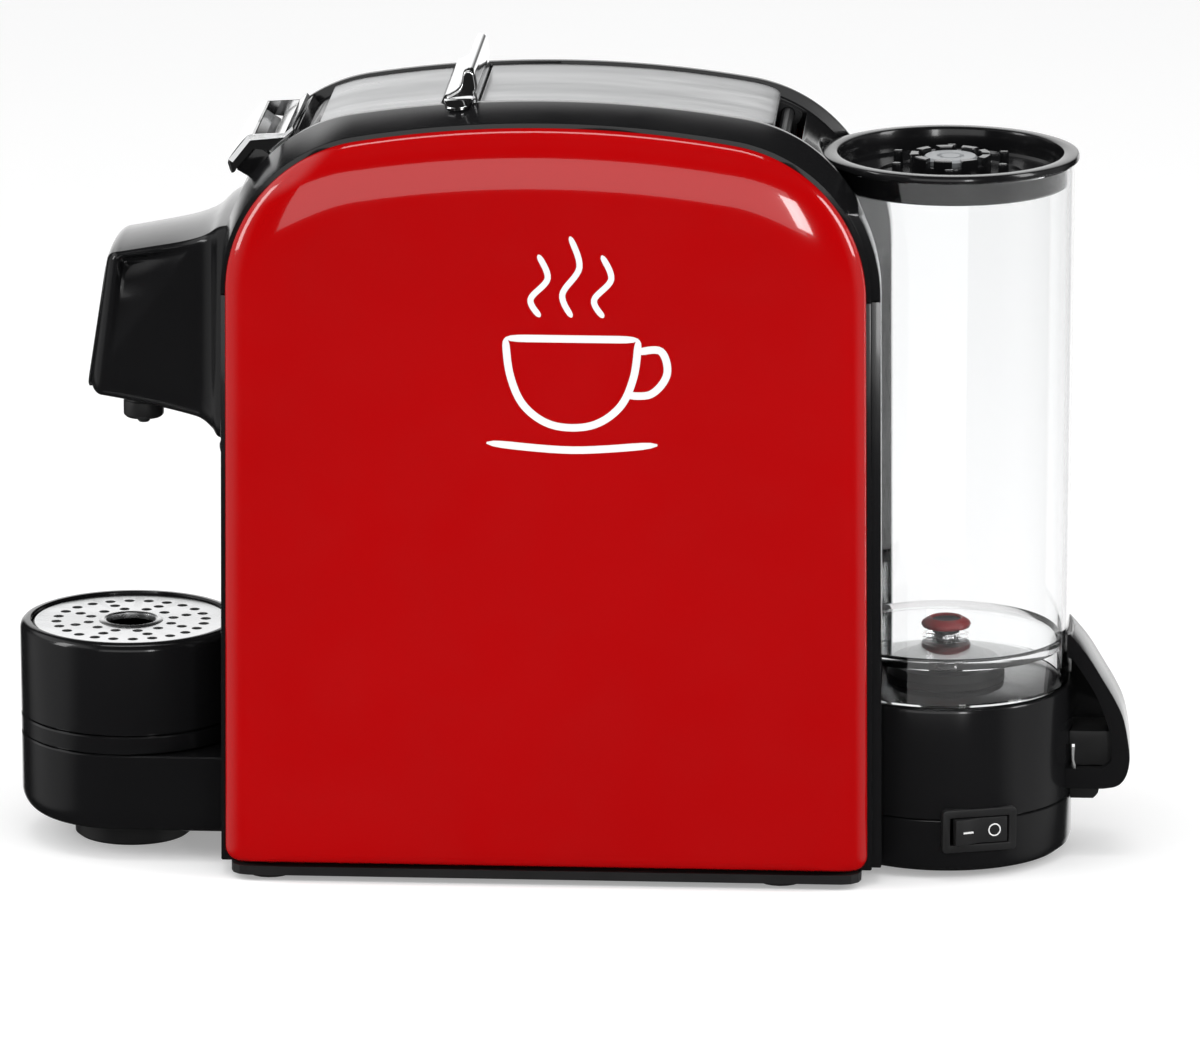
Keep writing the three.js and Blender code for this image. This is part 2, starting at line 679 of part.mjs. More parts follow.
const binBack = slotX[1] - binShort;
const binFront = common(
  block([frontX - 10, frontX], [-binHalf, binHalf], [binBottom, binTop]),
  across(railArch(), -40, 40),
);
const binTab = common(
  block([frontX - 6.1, frontX], [-12, 12], [binTop - 13.5, binTop]),
  across(outlineOf([
    [frontX, binTop], [frontX - 6.1, binTop - 1], [frontX - 6.1, binTop - 3.4], [frontX - 3, binTop - 13.5],
    [frontX, binTop - 13.5],
  ]), -12, 12),
);
add("capsule_bin", join(
  binFront,
  binTab,
  cut(
    block([frontX - 0.1, binBack], [-binHalf + 1, binHalf - 1], [binBottom, binTop - 6]),
    block([frontX + 2, binBack - 2], [-binHalf + 3, binHalf - 3], [binBottom + 2, binTop + 10]),
  ),
), gloss);

// ---- Drip tray ----

const trayCasing = moved(across(railArch(gap), -60, 60), -drumX, 0, 0);
const trayRound = (radius, back) => [
  ...arc(0, 0, radius, Math.PI / 2, 1.5 * Math.PI, 20),
  ...outlineOf([[back, -radius], [back, radius]]),
];
const trayBack = frontX - drumX + 5;
add("tray_foot", disc(trayFootRadius, 0, trayBottom - gap, 28), matte, drum);
add("tray_base", cut(
  join(
    upright(trayRound(drumRadius, trayBack), trayBottom + 2, ringBottom - gap),
    upright(trayRound(drumRadius - 2, trayBack), trayBottom, trayBottom + 2.01),
  ),
  trayCasing,
  upright(trayRound(drumRadius - wall, trayBack - 12), trayBottom + wall, ringBottom + 1),
), gloss, drum);
add("tray_ring", disc(drumRadius, ringBottom, cupBottom - gap, 40), gloss, drum);
const grilleZ = cupTop - 2.7;
const ledge = grilleRadius - 1.9;
add("drip_cup", turned([
  [0, cupBottom], [drumRadius, cupBottom], [drumRadius, cupTop - 2.2], [drumRadius - 1.6, cupTop - 0.4],
  [grilleRadius + gap, cupTop], [grilleRadius + gap, grilleZ - gap], [ledge, grilleZ - gap],
  [ledge, grilleZ - 3], [drumRadius - wall, grilleZ - 7], [drumRadius - wall, cupBottom + wall],
  [0, cupBottom + wall],
], 40), gloss, drum);
const grilleHoles = [[23.6, 20, 1.9], [14.6, 10, 1.9]].flatMap(([radius, count, size]) =>
  Array.from({ length: count }, (_, i) => {
    const angle = (2 * Math.PI * i) / count;
    const hole = disc(size, grilleZ - 1, grilleZ + 5, 6);
    return hole.translate(radius * Math.cos(angle), radius * Math.sin(angle), 0);
  }),
);
add("drip_grille", cut(
  ring(8, grilleRadius, grilleZ, grilleZ + grilleThick, 40),
  ...grilleHoles,
), steel, drum);

// ---- Tank base, rocker switch and rear handle ----

const rockerPlace = new THREE.Matrix4()
  .makeRotationZ(rockerTurn)
  .multiply(new THREE.Matrix4().makeTranslation(0, -baseRadius, rockerZ));
const inSwitch = (shape) => geometryOf(shape).applyMatrix4(rockerPlace);
const housingDepth = 15;
const bezelSink = 2; // how far the flat bezel sinks into the round wall
const bezelProud = 0.7;
const switchCut = (grow) => join(
  block([-bezelWidth / 2 - grow, bezelWidth / 2 + grow], [-10, bezelSink + grow],
    [-bezelHeight / 2 - grow, bezelHeight / 2 + grow]),
  block([-rockerWidth / 2 - 1.2 - grow, rockerWidth / 2 + 1.2 + grow], [-5, housingDepth + grow],
    [-rockerHeight / 2 - 1.6 - grow, rockerHeight / 2 + 1.6 + grow]),
);
const rockerPocket = block(
  [-rockerWidth / 2, rockerWidth / 2], [-10, housingDepth - 3], [-rockerHeight / 2, rockerHeight / 2],
);
add("rocker_bezel", inSwitch(cut(
  common(switchCut(0), block([-20, 20], [-bezelProud, 30], [-20, 20])),
  rockerPocket,
)), matte, tank);
const rockerOutline = outlineOf([
  [-9, -2.6], [0, -1.3], [9, -2.6], [8.6, 1.2], [4, 5], [-4, 5], [-8.6, 1.2],
]);
const rockerSolid = upright(rockerOutline, -rockerHeight / 2 + gap, rockerHeight / 2 - gap);
add("power_rocker", inSwitch(rockerSolid.rotateZ(rockerTilt).translate(0, 0.6, 0)), matte, tank);

const baseFoot = 1.5;
add("tank_foot", turned([[0, 0], [24, 0], [25, baseFoot - gap], [0, baseFoot - gap]], 28), rubber, tank);
const baseInner = baseRadius - wall;
const seamLow = baseSeam - gap / 2;
const seamHigh = baseSeam + gap / 2;
const wallHole = moved(inletHole, -tankX, 0, 0);
add("tank_base_lower", cut(
  turned([
    [0, baseFoot], [baseRadius - 4, baseFoot], [baseRadius - 1.2, baseFoot + 1.2],
    [baseRadius, baseFoot + 4], [baseRadius, seamLow], [baseInner, seamLow],
    [baseInner, baseFoot + wall + 1], [0, baseFoot + wall + 1],
  ], 48),
  inSwitch(switchCut(gap)),
), gloss, tank);
add("tank_base_upper", cut(
  turned([
    [4, baseHeight - 4], [baseInner, baseHeight - 4], [baseInner, seamHigh], [baseRadius, seamHigh],
    [baseRadius, baseHeight], [4, baseHeight], [4, baseHeight - 4],
  ], 48),
  inSwitch(switchCut(gap)),
  wallHole,
), gloss, tank);
const socketRadius = 19;
add("tank_socket", turned([
  [0, baseHeight + gap], [socketRadius, baseHeight + gap], [socketRadius - 2, baseHeight + 6],
  [9, tankFloor - 2], [3, tankFloor - 2], [3, tankFloor - 1], [0, tankFloor - 1],
], 28), matte, tank);

const handleHalf = 13;
const handleX = baseRadius; // the base's rear, from the tank's axis
const handleOuter = [
  [-4, 18.6], [-1, 18.1], [9.9, 3], [13.8, -3.6], [16.7, -10.3], [18.5, -20.3], [18.5, -25.3], [17.2, -29.6],
  [14.6, -32.2], [10.2, -33.1], [-4, -33.1],
];
const handleInner = [
  [-4, 12], [0.4, 9.5], [6.2, 0.6], [9.4, -6], [12, -14], [12.8, -20.5], [12.4, -24.4], [9.6, -26.5],
  [-4, -26.5],
];
const handleLine = (pairs) => outlineOf(pairs.map(([x, z]) => [handleX + x, baseHeight + z]));
const clearOfBase = disc(baseRadius + gap, -10, 400, 64);
const webFront = handleHalf - 5;
const outletTop = -6;
add("rear_handle", cut(
  join(
    cut(
      across(handleLine(handleOuter), -handleHalf, handleHalf),
      across(handleLine(handleInner), -handleHalf - 1, handleHalf + 1),
    ),
    common(
      across(handleLine(handleOuter), webFront, handleHalf),
      block([0, 100], [0, 50], [baseHeight + outletTop + gap, 200]),
    ),
  ),
  clearOfBase,
), matte, tank);
const outletHalf = 9;
add("cord_outlet", cut(
  across(handleLine([[-4, outletTop], [7.2, outletTop], [10.4, -10], [11.2, -20.5], [9.4, -26.2], [-4, -26.2]]),
    -outletHalf, outletHalf),
  clearOfBase,
), matte, tank);
add("cord_gland", cut(
  across(handleLine([[-4, -33.4], [9, -33.4], [7, -38], [-4, -38]]), -7, 7),
  block([handleX + 2, handleX + 6], [-3, 3], [baseHeight - 50, baseHeight - 35.5]),
  clearOfBase,
), matte, tank);

// ---- Water tank ----

const tubeInner = tubeRadius - tubeWall;
const tubeBottom = baseHeight + gap;
add("tank_tube", ring(tubeInner, tubeRadius, tubeBottom, tankTop - gap, 56), clear, tank);
const stemRadius = 3;
const guideRadius = stemRadius + slideGap;
const floorTop = tankFloor + floorThick;
add("tank_floor", turned([
  [guideRadius, tankFloor], [tubeInner - gap, tankFloor], [tubeInner - gap, floorTop],
  [guideRadius, floorTop], [guideRadius, tankFloor],
], 48), clear, tank);
const valveZ = floorTop + 2.2;
add("tank_valve", turned([
  [0, tankFloor + 0.2], [stemRadius, tankFloor + 0.2], [stemRadius, valveZ], [valveRadius, valveZ],
  [valveRadius, valveZ + 2], [valveRadius - 2.4, valveZ + 3.5], [valveRadius - 4.4, valveZ + 3.5],
  [valveRadius - 5.4, valveZ + 2], [0, valveZ + 2],
], 24), redSeal, tank);

const lidInner = tubeInner - 3;
const recessFloor = tankTop - lidSkirt + 2;
const rimTop = tankTop + rimThick;
add("tank_lid", turned([
  [0, tankTop - lidSkirt], [tubeInner - gap, tankTop - lidSkirt], [tubeInner - gap, tankTop],
  [baseRadius, tankTop], [baseRadius, rimTop], [lidInner, rimTop], [lidInner, recessFloor],
  [0, recessFloor],
], 56), gloss, tank);
const hubRadius = 13;
const hubNotches = Array.from({ length: 3 }, (_, i) =>
  block([-20, 20], [-1.6, 1.6], [rimTop - 3.5, rimTop + 1]).rotateZ((i * Math.PI) / 3),
);
add("lid_hub", cut(
  ring(hubRadius - 3, hubRadius, recessFloor + gap, rimTop - 0.8, 28),
  ...hubNotches,
), gloss, tank);
add("lid_cap", disc(hubRadius - 4.2, recessFloor + gap, rimTop - 1.5, 20), grey, tank);

export default machine;
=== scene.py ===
from math import acos, atan2, cos, hypot, pi, radians, sin, sqrt

import bpy
from mathutils import Matrix, Vector


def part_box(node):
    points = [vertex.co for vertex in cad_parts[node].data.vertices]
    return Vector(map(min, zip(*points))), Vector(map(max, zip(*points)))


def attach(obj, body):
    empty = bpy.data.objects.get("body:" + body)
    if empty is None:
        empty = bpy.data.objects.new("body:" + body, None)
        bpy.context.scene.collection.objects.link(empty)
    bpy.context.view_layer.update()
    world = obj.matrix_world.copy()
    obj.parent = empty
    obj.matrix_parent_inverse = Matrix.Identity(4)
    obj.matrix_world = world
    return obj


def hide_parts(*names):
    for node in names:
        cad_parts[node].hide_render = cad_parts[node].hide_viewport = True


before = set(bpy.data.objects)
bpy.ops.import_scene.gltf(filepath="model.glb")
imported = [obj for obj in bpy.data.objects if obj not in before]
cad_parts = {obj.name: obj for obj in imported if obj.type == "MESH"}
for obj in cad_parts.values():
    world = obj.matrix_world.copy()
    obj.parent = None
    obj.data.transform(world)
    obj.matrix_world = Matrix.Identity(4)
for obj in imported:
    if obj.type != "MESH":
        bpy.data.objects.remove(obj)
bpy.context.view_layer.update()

mm = 0.001  # every size below is in millimetres


# ---- Reading the frame ----

def nodeBox(name):
    low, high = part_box(name)
    return low / mm, high / mm


panelLow, panelHigh = nodeBox("left_side_panel")
tubeLow, tubeHigh = nodeBox("tank_tube")
baseLow, baseHigh = nodeBox("tank_base_lower")
cupLow, cupHigh = nodeBox("drip_cup")
nozzleLow, nozzleHigh = nodeBox("spout_nozzle")

machine = {
    "midX": (panelLow.x + panelHigh.x) / 2,
    "flare": 1.7,  # how much further out the sides are at the floor
    "top": panelHigh.z,
    "bottom": panelLow.z,
    "shoulderDrop": 54.3,
    "shoulderRadius": 50,
    "railSide": 2.5,
    "railTop": 5.1,
    "railLift": 5,
    "railOuter": 34,
    "railInner": 31,
    "recess": 3,
    "lip": 1.4,
    "coreHalf": 49.7,
}
machine["shoulderZ"] = machine["top"] - machine["shoulderDrop"]
machine["half"] = (panelHigh.x - panelLow.x) / 2 - machine["flare"]
frontX = machine["midX"] - machine["half"]
tankX = (tubeLow.x + tubeHigh.x) / 2
drumX = (nodeBox("tray_foot")[0].x + nodeBox("tray_foot")[1].x) / 2
nozzleX = (nozzleLow.x + nozzleHigh.x) / 2
spoutZ = nozzleLow.z


# ---- Modelling helpers ----

def deselectAll():
    if bpy.context.object and bpy.context.object.mode != "OBJECT":
        bpy.ops.object.mode_set(mode="OBJECT")
    bpy.ops.object.select_all(action="DESELECT")


def makeActive(piece):
    deselectAll()
    piece.select_set(True)
    bpy.context.view_layer.objects.active = piece


def editAll(piece):
    makeActive(piece)
    bpy.ops.object.mode_set(mode="EDIT")
    bpy.ops.mesh.select_all(action="SELECT")


def closeUp(piece, merge=0.004):
    editAll(piece)
    bpy.ops.mesh.remove_doubles(threshold=merge * mm)
    bpy.ops.mesh.normals_make_consistent(inside=False)
    bpy.ops.object.mode_set(mode="OBJECT")
    return piece


def applyModifier(piece, kind, **settings):
    makeActive(piece)
    modifier = piece.modifiers.new(kind.title(), kind)
    for key, value in settings.items():
        setattr(modifier, key, value)
    bpy.ops.object.modifier_apply(modifier=modifier.name)
    return piece


def roundEdges(piece, width, segments=3, angle=28):
    return applyModifier(
        piece, "BEVEL", width=width * mm, segments=segments, limit_method="ANGLE",
        angle_limit=radians(angle), use_clamp_overlap=True, harden_normals=False,
    )


def cutWith(piece, tool, operation="DIFFERENCE"):
    applyModifier(piece, "BOOLEAN", object=tool, operation=operation, solver="EXACT")
    bpy.data.objects.remove(tool)
    return piece


def gridSkin(name, rows, closed=True, caps=True):
    # A grid primitive whose rows are laid on the given rings of points, then sewn into a skin.
    across, along = len(rows[0]), len(rows)
    columns = across if closed else across - 1
    deselectAll()
    bpy.ops.mesh.primitive_grid_add(x_subdivisions=columns, y_subdivisions=along - 1, size=1)
    piece = bpy.context.object
    piece.name = name
    piece.location = (0, 0, 0)
    points = []
    for row in rows:
        ring = [Vector(p) * mm for p in row]
        points += ring + ([ring[0]] if closed else [])
    assert len(points) == len(piece.data.vertices), (name, len(points), len(piece.data.vertices))
    piece.data.vertices.foreach_set("co", [value for p in points for value in p])
    piece.data.update()
    editAll(piece)
    bpy.ops.mesh.remove_doubles(threshold=0.002 * mm)
    if caps:
        bpy.ops.mesh.select_all(action="DESELECT")
        bpy.ops.mesh.select_non_manifold(extend=False, use_wire=False, use_multi_face=False, use_non_contiguous=False, use_verts=False)
        bpy.ops.mesh.fill_holes(sides=0)
    bpy.ops.object.mode_set(mode="OBJECT")
    return closeUp(piece)


def drawLine(name, points):
    # One vertex, drawn out along a chain of points.
    deselectAll()
    bpy.ops.mesh.primitive_plane_add(size=mm, location=Vector(points[0]) * mm)
    piece = bpy.context.object
    piece.name = name
    bpy.ops.object.transform_apply(location=True, rotation=True, scale=True)
    bpy.ops.object.mode_set(mode="EDIT")
    bpy.ops.mesh.select_all(action="SELECT")
    bpy.ops.mesh.merge(type="CENTER")
    for a, b in zip(points, points[1:]):
        step = (Vector(b) - Vector(a)) * mm
        bpy.ops.mesh.extrude_vertices_move(TRANSFORM_OT_translate={"value": step})
    return piece


def turned(name, profile, centre, steps=72):
    # A profile of (radius, z) pairs, spun about an upright axis.
    x, y = centre
    piece = drawLine(name, [(x + radius, y, z) for radius, z in profile])
    bpy.ops.mesh.select_all(action="SELECT")
    bpy.ops.mesh.spin(
        steps=steps, angle=2 * pi, center=(x * mm, y * mm, 0), axis=(0, 0, 1), use_auto_merge=True
    )
    return closeUp(piece)


def extruded(name, outline, step):
    # An outline filled and pulled out along one step.
    piece = drawLine(name, outline)
    bpy.ops.mesh.select_all(action="SELECT")
    bpy.ops.mesh.edge_face_add()
    bpy.ops.mesh.select_all(action="SELECT")
    bpy.ops.mesh.extrude_region_move(TRANSFORM_OT_translate={"value": Vector(step) * mm})
    return closeUp(piece)


def acrossY(name, outline, y0, y1):
    return extruded(name, [(x, y0, z) for x, z in outline], (0, y1 - y0, 0))


def upright(name, outline, z0, z1):
    return extruded(name, [(x, y, z0) for x, y in outline], (0, 0, z1 - z0))


def block(name, low, high):
    deselectAll()
    low, high = Vector(low), Vector(high)
    bpy.ops.mesh.primitive_cube_add(size=1, location=(low + high) / 2 * mm, scale=(high - low) * mm)
    piece = bpy.context.object
    piece.name = name
    bpy.ops.object.transform_apply(location=True, rotation=True, scale=True)
    return piece


def pillar(name, centre, radius, z0, z1, steps=72):
    deselectAll()
    place = Vector((centre[0], centre[1], (z0 + z1) / 2)) * mm
    bpy.ops.mesh.primitive_cylinder_add(vertices=steps, radius=radius * mm, depth=(z1 - z0) * mm, location=place)
    piece = bpy.context.object
    piece.name = name
    bpy.ops.object.transform_apply(location=True, rotation=True, scale=True)
    return piece


def mirrorCopy(piece, name):
    makeActive(piece)
    bpy.ops.object.duplicate()
    copy = bpy.context.object
    copy.name = name
    bpy.ops.object.mode_set(mode="EDIT")
    bpy.ops.mesh.select_all(action="SELECT")
    bpy.ops.transform.resize(value=(1, -1, 1), center_override=(0, 0, 0))
    bpy.ops.mesh.normals_make_consistent(inside=False)
    bpy.ops.object.mode_set(mode="OBJECT")
    return copy


def joinPieces(pieces, name):
    deselectAll()
    for piece in pieces:
        piece.select_set(True)
    bpy.context.view_layer.objects.active = pieces[0]
    bpy.ops.object.join()
    joined = bpy.context.object
    joined.name = name
    return joined


def arcPoints(cx, cy, radius, start, end, steps):
    return [
        (cx + radius * cos(start + (end - start) * i / steps), cy + radius * sin(start + (end - start) * i / steps))
        for i in range(steps + 1)
    ]


def archLine(side, top=None, lift=0, bottom=None, foot=0.5, fine=1):
    # The body's side outline, grown by side and top, down to a rounded lower edge.
    top = side if top is None else top
    bottom = machine["bottom"] if bottom is None else bottom
    half = machine["half"] + side
    radius = machine["shoulderRadius"] + top - lift
    centreZ = machine["shoulderZ"] + lift
    offset = half - radius
    rise = machine["top"] + top - centreZ
    crown = (offset ** 2 + rise ** 2 - radius ** 2) / (2 * (rise - radius))
    crownZ = machine["top"] + top - crown
    meet = atan2(centreZ - crownZ, offset)
    footX = half + machine["flare"] * (centreZ - bottom) / machine["shoulderZ"] - foot
    x = machine["midX"]
    return (
        arcPoints(x + footX, bottom + foot, foot, -pi / 2, 0, 6)
        + arcPoints(x + offset, centreZ, radius, 0, meet, 22 * fine)
        + arcPoints(x, crownZ, crown, meet, pi - meet, 30 * fine)[1:-1]
        + arcPoints(x - offset, centreZ, radius, pi - meet, pi, 22 * fine)
        + arcPoints(x - footX, bottom + foot, foot, pi, 1.5 * pi, 6)
    )


def railLine(grow=0, fine=1):
    return archLine(machine["railSide"] + grow, machine["railTop"] + grow, machine["railLift"], fine=fine)


def atY(line, y):
    return [(x, y, z) for x, z in line]


def finishPiece(piece, body, material, replaces=(), smooth=35):
    makeActive(piece)
    piece.data.materials.clear()
    piece.data.materials.append(material)
    if smooth:
        bpy.ops.object.shade_smooth_by_angle(angle=radians(smooth))
    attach(piece, body)
    if replaces:
        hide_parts(*replaces)
    return piece


# ---- Materials ----

def newMaterial(name, color, roughness, metallic=0.0, coat=0.0, coatRoughness=0.03, ior=1.5, specular=0.5):
    material = bpy.data.materials.new(name)
    material.use_nodes = True
    shader = material.node_tree.nodes["Principled BSDF"]
    shader.inputs["Base Color"].default_value = (*color, 1)
    shader.inputs["Roughness"].default_value = roughness
    shader.inputs["Metallic"].default_value = metallic
    shader.inputs["Coat Weight"].default_value = coat
    shader.inputs["Coat Roughness"].default_value = coatRoughness
    shader.inputs["IOR"].default_value = ior
    shader.inputs["Specular IOR Level"].default_value = specular
    return material, material.node_tree, shader


def noiseField(tree, scale, detail=3, stretch=(1, 1, 1), rough=0.5):
    place = tree.nodes.new("ShaderNodeTexCoord")
    mapping = tree.nodes.new("ShaderNodeMapping")
    mapping.inputs["Scale"].default_value = stretch
    noise = tree.nodes.new("ShaderNodeTexNoise")
    noise.inputs["Scale"].default_value = scale
    noise.inputs["Detail"].default_value = detail
    noise.inputs["Roughness"].default_value = rough
    tree.links.new(place.outputs["Object"], mapping.inputs["Vector"])
    tree.links.new(mapping.outputs["Vector"], noise.inputs["Vector"])
    return noise.outputs["Fac"]


def spread(tree, field, low, high, start=0.3, end=0.7):
    # A field turned into a range of numbers.
    ranged = tree.nodes.new("ShaderNodeMapRange")
    ranged.inputs["From Min"].default_value = start
    ranged.inputs["From Max"].default_value = end
    ranged.inputs["To Min"].default_value = low
    ranged.inputs["To Max"].default_value = high
    tree.links.new(field, ranged.inputs["Value"])
    return ranged.outputs["Result"]


def tint(tree, field, first, second):
    mix = tree.nodes.new("ShaderNodeMix")
    mix.data_type = "RGBA"
    mix.inputs[6].default_value = (*first, 1)
    mix.inputs[7].default_value = (*second, 1)
    tree.links.new(field, mix.inputs[0])
    return mix.outputs[2]


def bumpBy(tree, shader, field, strength, distance):
    bump = tree.nodes.new("ShaderNodeBump")
    bump.inputs["Strength"].default_value = strength
    bump.inputs["Distance"].default_value = distance * mm
    tree.links.new(field, bump.inputs["Height"])
    tree.links.new(bump.outputs["Normal"], shader.inputs["Normal"])


def moulded(name, color, deeper, roughness, grainScale, grain, **more):
    # A moulded plastic: slow drift of colour, uneven sheen and a fine skin.
    material, tree, shader = newMaterial(name, color, roughness, **more)
    drift = spread(tree, noiseField(tree, 9, 2), 0, 1)
    tree.links.new(tint(tree, drift, color, deeper), shader.inputs["Base Color"])
    sheen = spread(tree, noiseField(tree, 55, 4), roughness * 0.85, roughness * 1.2)
    tree.links.new(sheen, shader.inputs["Roughness"])
    bumpBy(tree, shader, noiseField(tree, grainScale, 2), grain, 0.02)
    return material


def brushedMetal(name, color, roughness, stretch, grain):
    material, tree, shader = newMaterial(name, color, roughness, metallic=1.0)
    hairs = noiseField(tree, 60, 5, stretch, 0.7)
    lighter = tuple(min(1, c * 1.07) for c in color)
    tree.links.new(tint(tree, spread(tree, hairs, 0, 1), color, lighter), shader.inputs["Base Color"])
    tree.links.new(spread(tree, hairs, roughness * 0.8, roughness * 1.25), shader.inputs["Roughness"])
    bumpBy(tree, shader, hairs, grain, 0.01)
    return material


redGloss = moulded("redGloss", (0.43, 0.0008, 0.0016), (0.4, 0.0008, 0.0015), 0.12, 900, 0.03,
                   coat=1.0, coatRoughness=0.025, specular=0.2)
blackGloss = moulded("blackGloss", (0.0065, 0.0065, 0.007), (0.0085, 0.0085, 0.009), 0.17, 900, 0.04,
                     coat=0.25, coatRoughness=0.05, specular=0.3)
blackSatin = moulded("blackSatin", (0.012, 0.012, 0.0125), (0.016, 0.016, 0.0165), 0.42, 2600, 0.25)
pearlWhite = moulded("pearlWhite", (0.86, 0.86, 0.85), (0.8, 0.8, 0.79), 0.2, 900, 0.03, coat=0.8)
capGrey = moulded("capGrey", (0.3, 0.31, 0.32), (0.26, 0.27, 0.28), 0.35, 1800, 0.2)
sealRed = moulded("sealRed", (0.4, 0.008, 0.014), (0.34, 0.006, 0.01), 0.3, 1200, 0.1)
footRubber = moulded("footRubber", (0.016, 0.016, 0.016), (0.022, 0.022, 0.022), 0.8, 2200, 0.5)
hoseSilicone = moulded("hoseSilicone", (0.7, 0.7, 0.66), (0.62, 0.62, 0.58), 0.5, 1500, 0.15)
boardGreen = moulded("boardGreen", (0.012, 0.1, 0.035), (0.01, 0.08, 0.03), 0.4, 1500, 0.2)
printWhite = moulded("printWhite", (0.9, 0.9, 0.9), (0.84, 0.84, 0.84), 0.3, 1500, 0.1)
gapBlack = moulded("gapBlack", (0.004, 0.004, 0.004), (0.006, 0.006, 0.006), 0.6, 1500, 0.2)
satinSilver = brushedMetal("satinSilver", (0.56, 0.565, 0.57), 0.33, (0.12, 1, 1), 0.06)
chromeTrim = brushedMetal("chromeTrim", (0.78, 0.785, 0.79), 0.07, (1, 0.2, 1), 0.01)
grilleSteel = brushedMetal("grilleSteel", (0.8, 0.805, 0.81), 0.24, (0.15, 1, 1), 0.05)
plainSteel = brushedMetal("plainSteel", (0.55, 0.56, 0.57), 0.3, (0.2, 1, 1), 0.08)
coilCopper = brushedMetal("coilCopper", (0.5, 0.22, 0.1), 0.35, (0.1, 1, 1), 0.3)


def clearPlastic():
    material, tree, shader = newMaterial("clearPlastic", (0.985, 0.99, 0.992), 0.02, ior=1.49)
    shader.inputs["Transmission Weight"].default_value = 1.0
    marks = noiseField(tree, 35, 3, (1, 1, 0.2))
    tree.links.new(spread(tree, marks, 0.012, 0.04), shader.inputs["Roughness"])
    bumpBy(tree, shader, noiseField(tree, 6, 1, (1, 1, 0.15)), 0.02, 0.1)
    return material


clearTank = clearPlastic()
print("materials ready")


# ---- Camera, light and floor ----

view = {
    "lens": 276.3,
    "place": (180.1, -2873.4, 840.7),
    "target": (8.4, 0, 105.9),
}


def makeCamera():
    data = bpy.data.cameras.new("camera")
    data.lens = view["lens"]
    data.clip_start, data.clip_end = 0.05, 60
    camera = bpy.data.objects.new("camera", data)
    bpy.context.scene.collection.objects.link(camera)
    camera.location = Vector(view["place"]) * mm
    aim = (Vector(view["target"]) - Vector(view["place"])).normalized()
    camera.rotation_euler = aim.to_track_quat("-Z", "Y").to_euler()
    bpy.context.scene.camera = camera


studio = {
    # name: place, target, width, height, watts
    "topBox": ((0, -150, 1400), (0, 0, 120), 1100, 260, 4),
    "frontBox": ((-120, -1500, 520), (0, 0, 130), 1500, 520, 3.4),
    "shoulderBox": ((560, -1420, 470), (40, 0, 150), 170, 330, 2.2),
    "leftBox": ((-1120, -330, 560), (0, 0, 130), 300, 620, 3.5),
    "rightBox": ((1120, -330, 620), (0, 0, 130), 300, 620, 4.5),
}
dome = {"strength": 1.8, "angle": 95}  # an even light from above that gloss does not mirror


def makeLight(name, place, target, width, height, watts):
    data = bpy.data.lights.new(name, "AREA")
    data.shape = "RECTANGLE"
    data.size, data.size_y, data.energy = width * mm, height * mm, watts
    lamp = bpy.data.objects.new(name, data)
    bpy.context.scene.collection.objects.link(lamp)
    lamp.location = Vector(place) * mm
    lamp.rotation_euler = (Vector(target) - Vector(place)).to_track_quat("-Z", "Y").to_euler()


def makeDome():
    data = bpy.data.lights.new("dome", "SUN")
    data.energy = dome["strength"]
    data.angle = radians(dome["angle"])
    lamp = bpy.data.objects.new("dome", data)
    bpy.context.scene.collection.objects.link(lamp)
    lamp.rotation_euler = (radians(12), 0, 0)
    lamp.visible_glossy = False


def makeFloor():
    deselectAll()
    bpy.ops.mesh.primitive_plane_add(size=30, location=(0, 0, -0.0002))
    floor = bpy.context.object
    floor.name = "floor"
    material, tree, shader = newMaterial("floorWhite", (0.8, 0.8, 0.8), 0.7)
    drift = spread(tree, noiseField(tree, 2, 2), 0, 1)
    tree.links.new(tint(tree, drift, (0.8, 0.8, 0.8), (0.79, 0.79, 0.793)), shader.inputs["Base Color"])
    shader.inputs["Specular IOR Level"].default_value = 0.0
    shader.inputs["Emission Color"].default_value = (1, 1, 1, 1)
    shader.inputs["Emission Strength"].default_value = 0.3
    floor.data.materials.append(material)
    floor.visible_glossy = False  # gloss sees the studio's dark room and its cards instead


room = {
    "seen": 0.97,
    "dark": 0.014,
    "rearCard": 1.15,
    "sideCard": 0.34,
    "noseCard": 0.85,
}


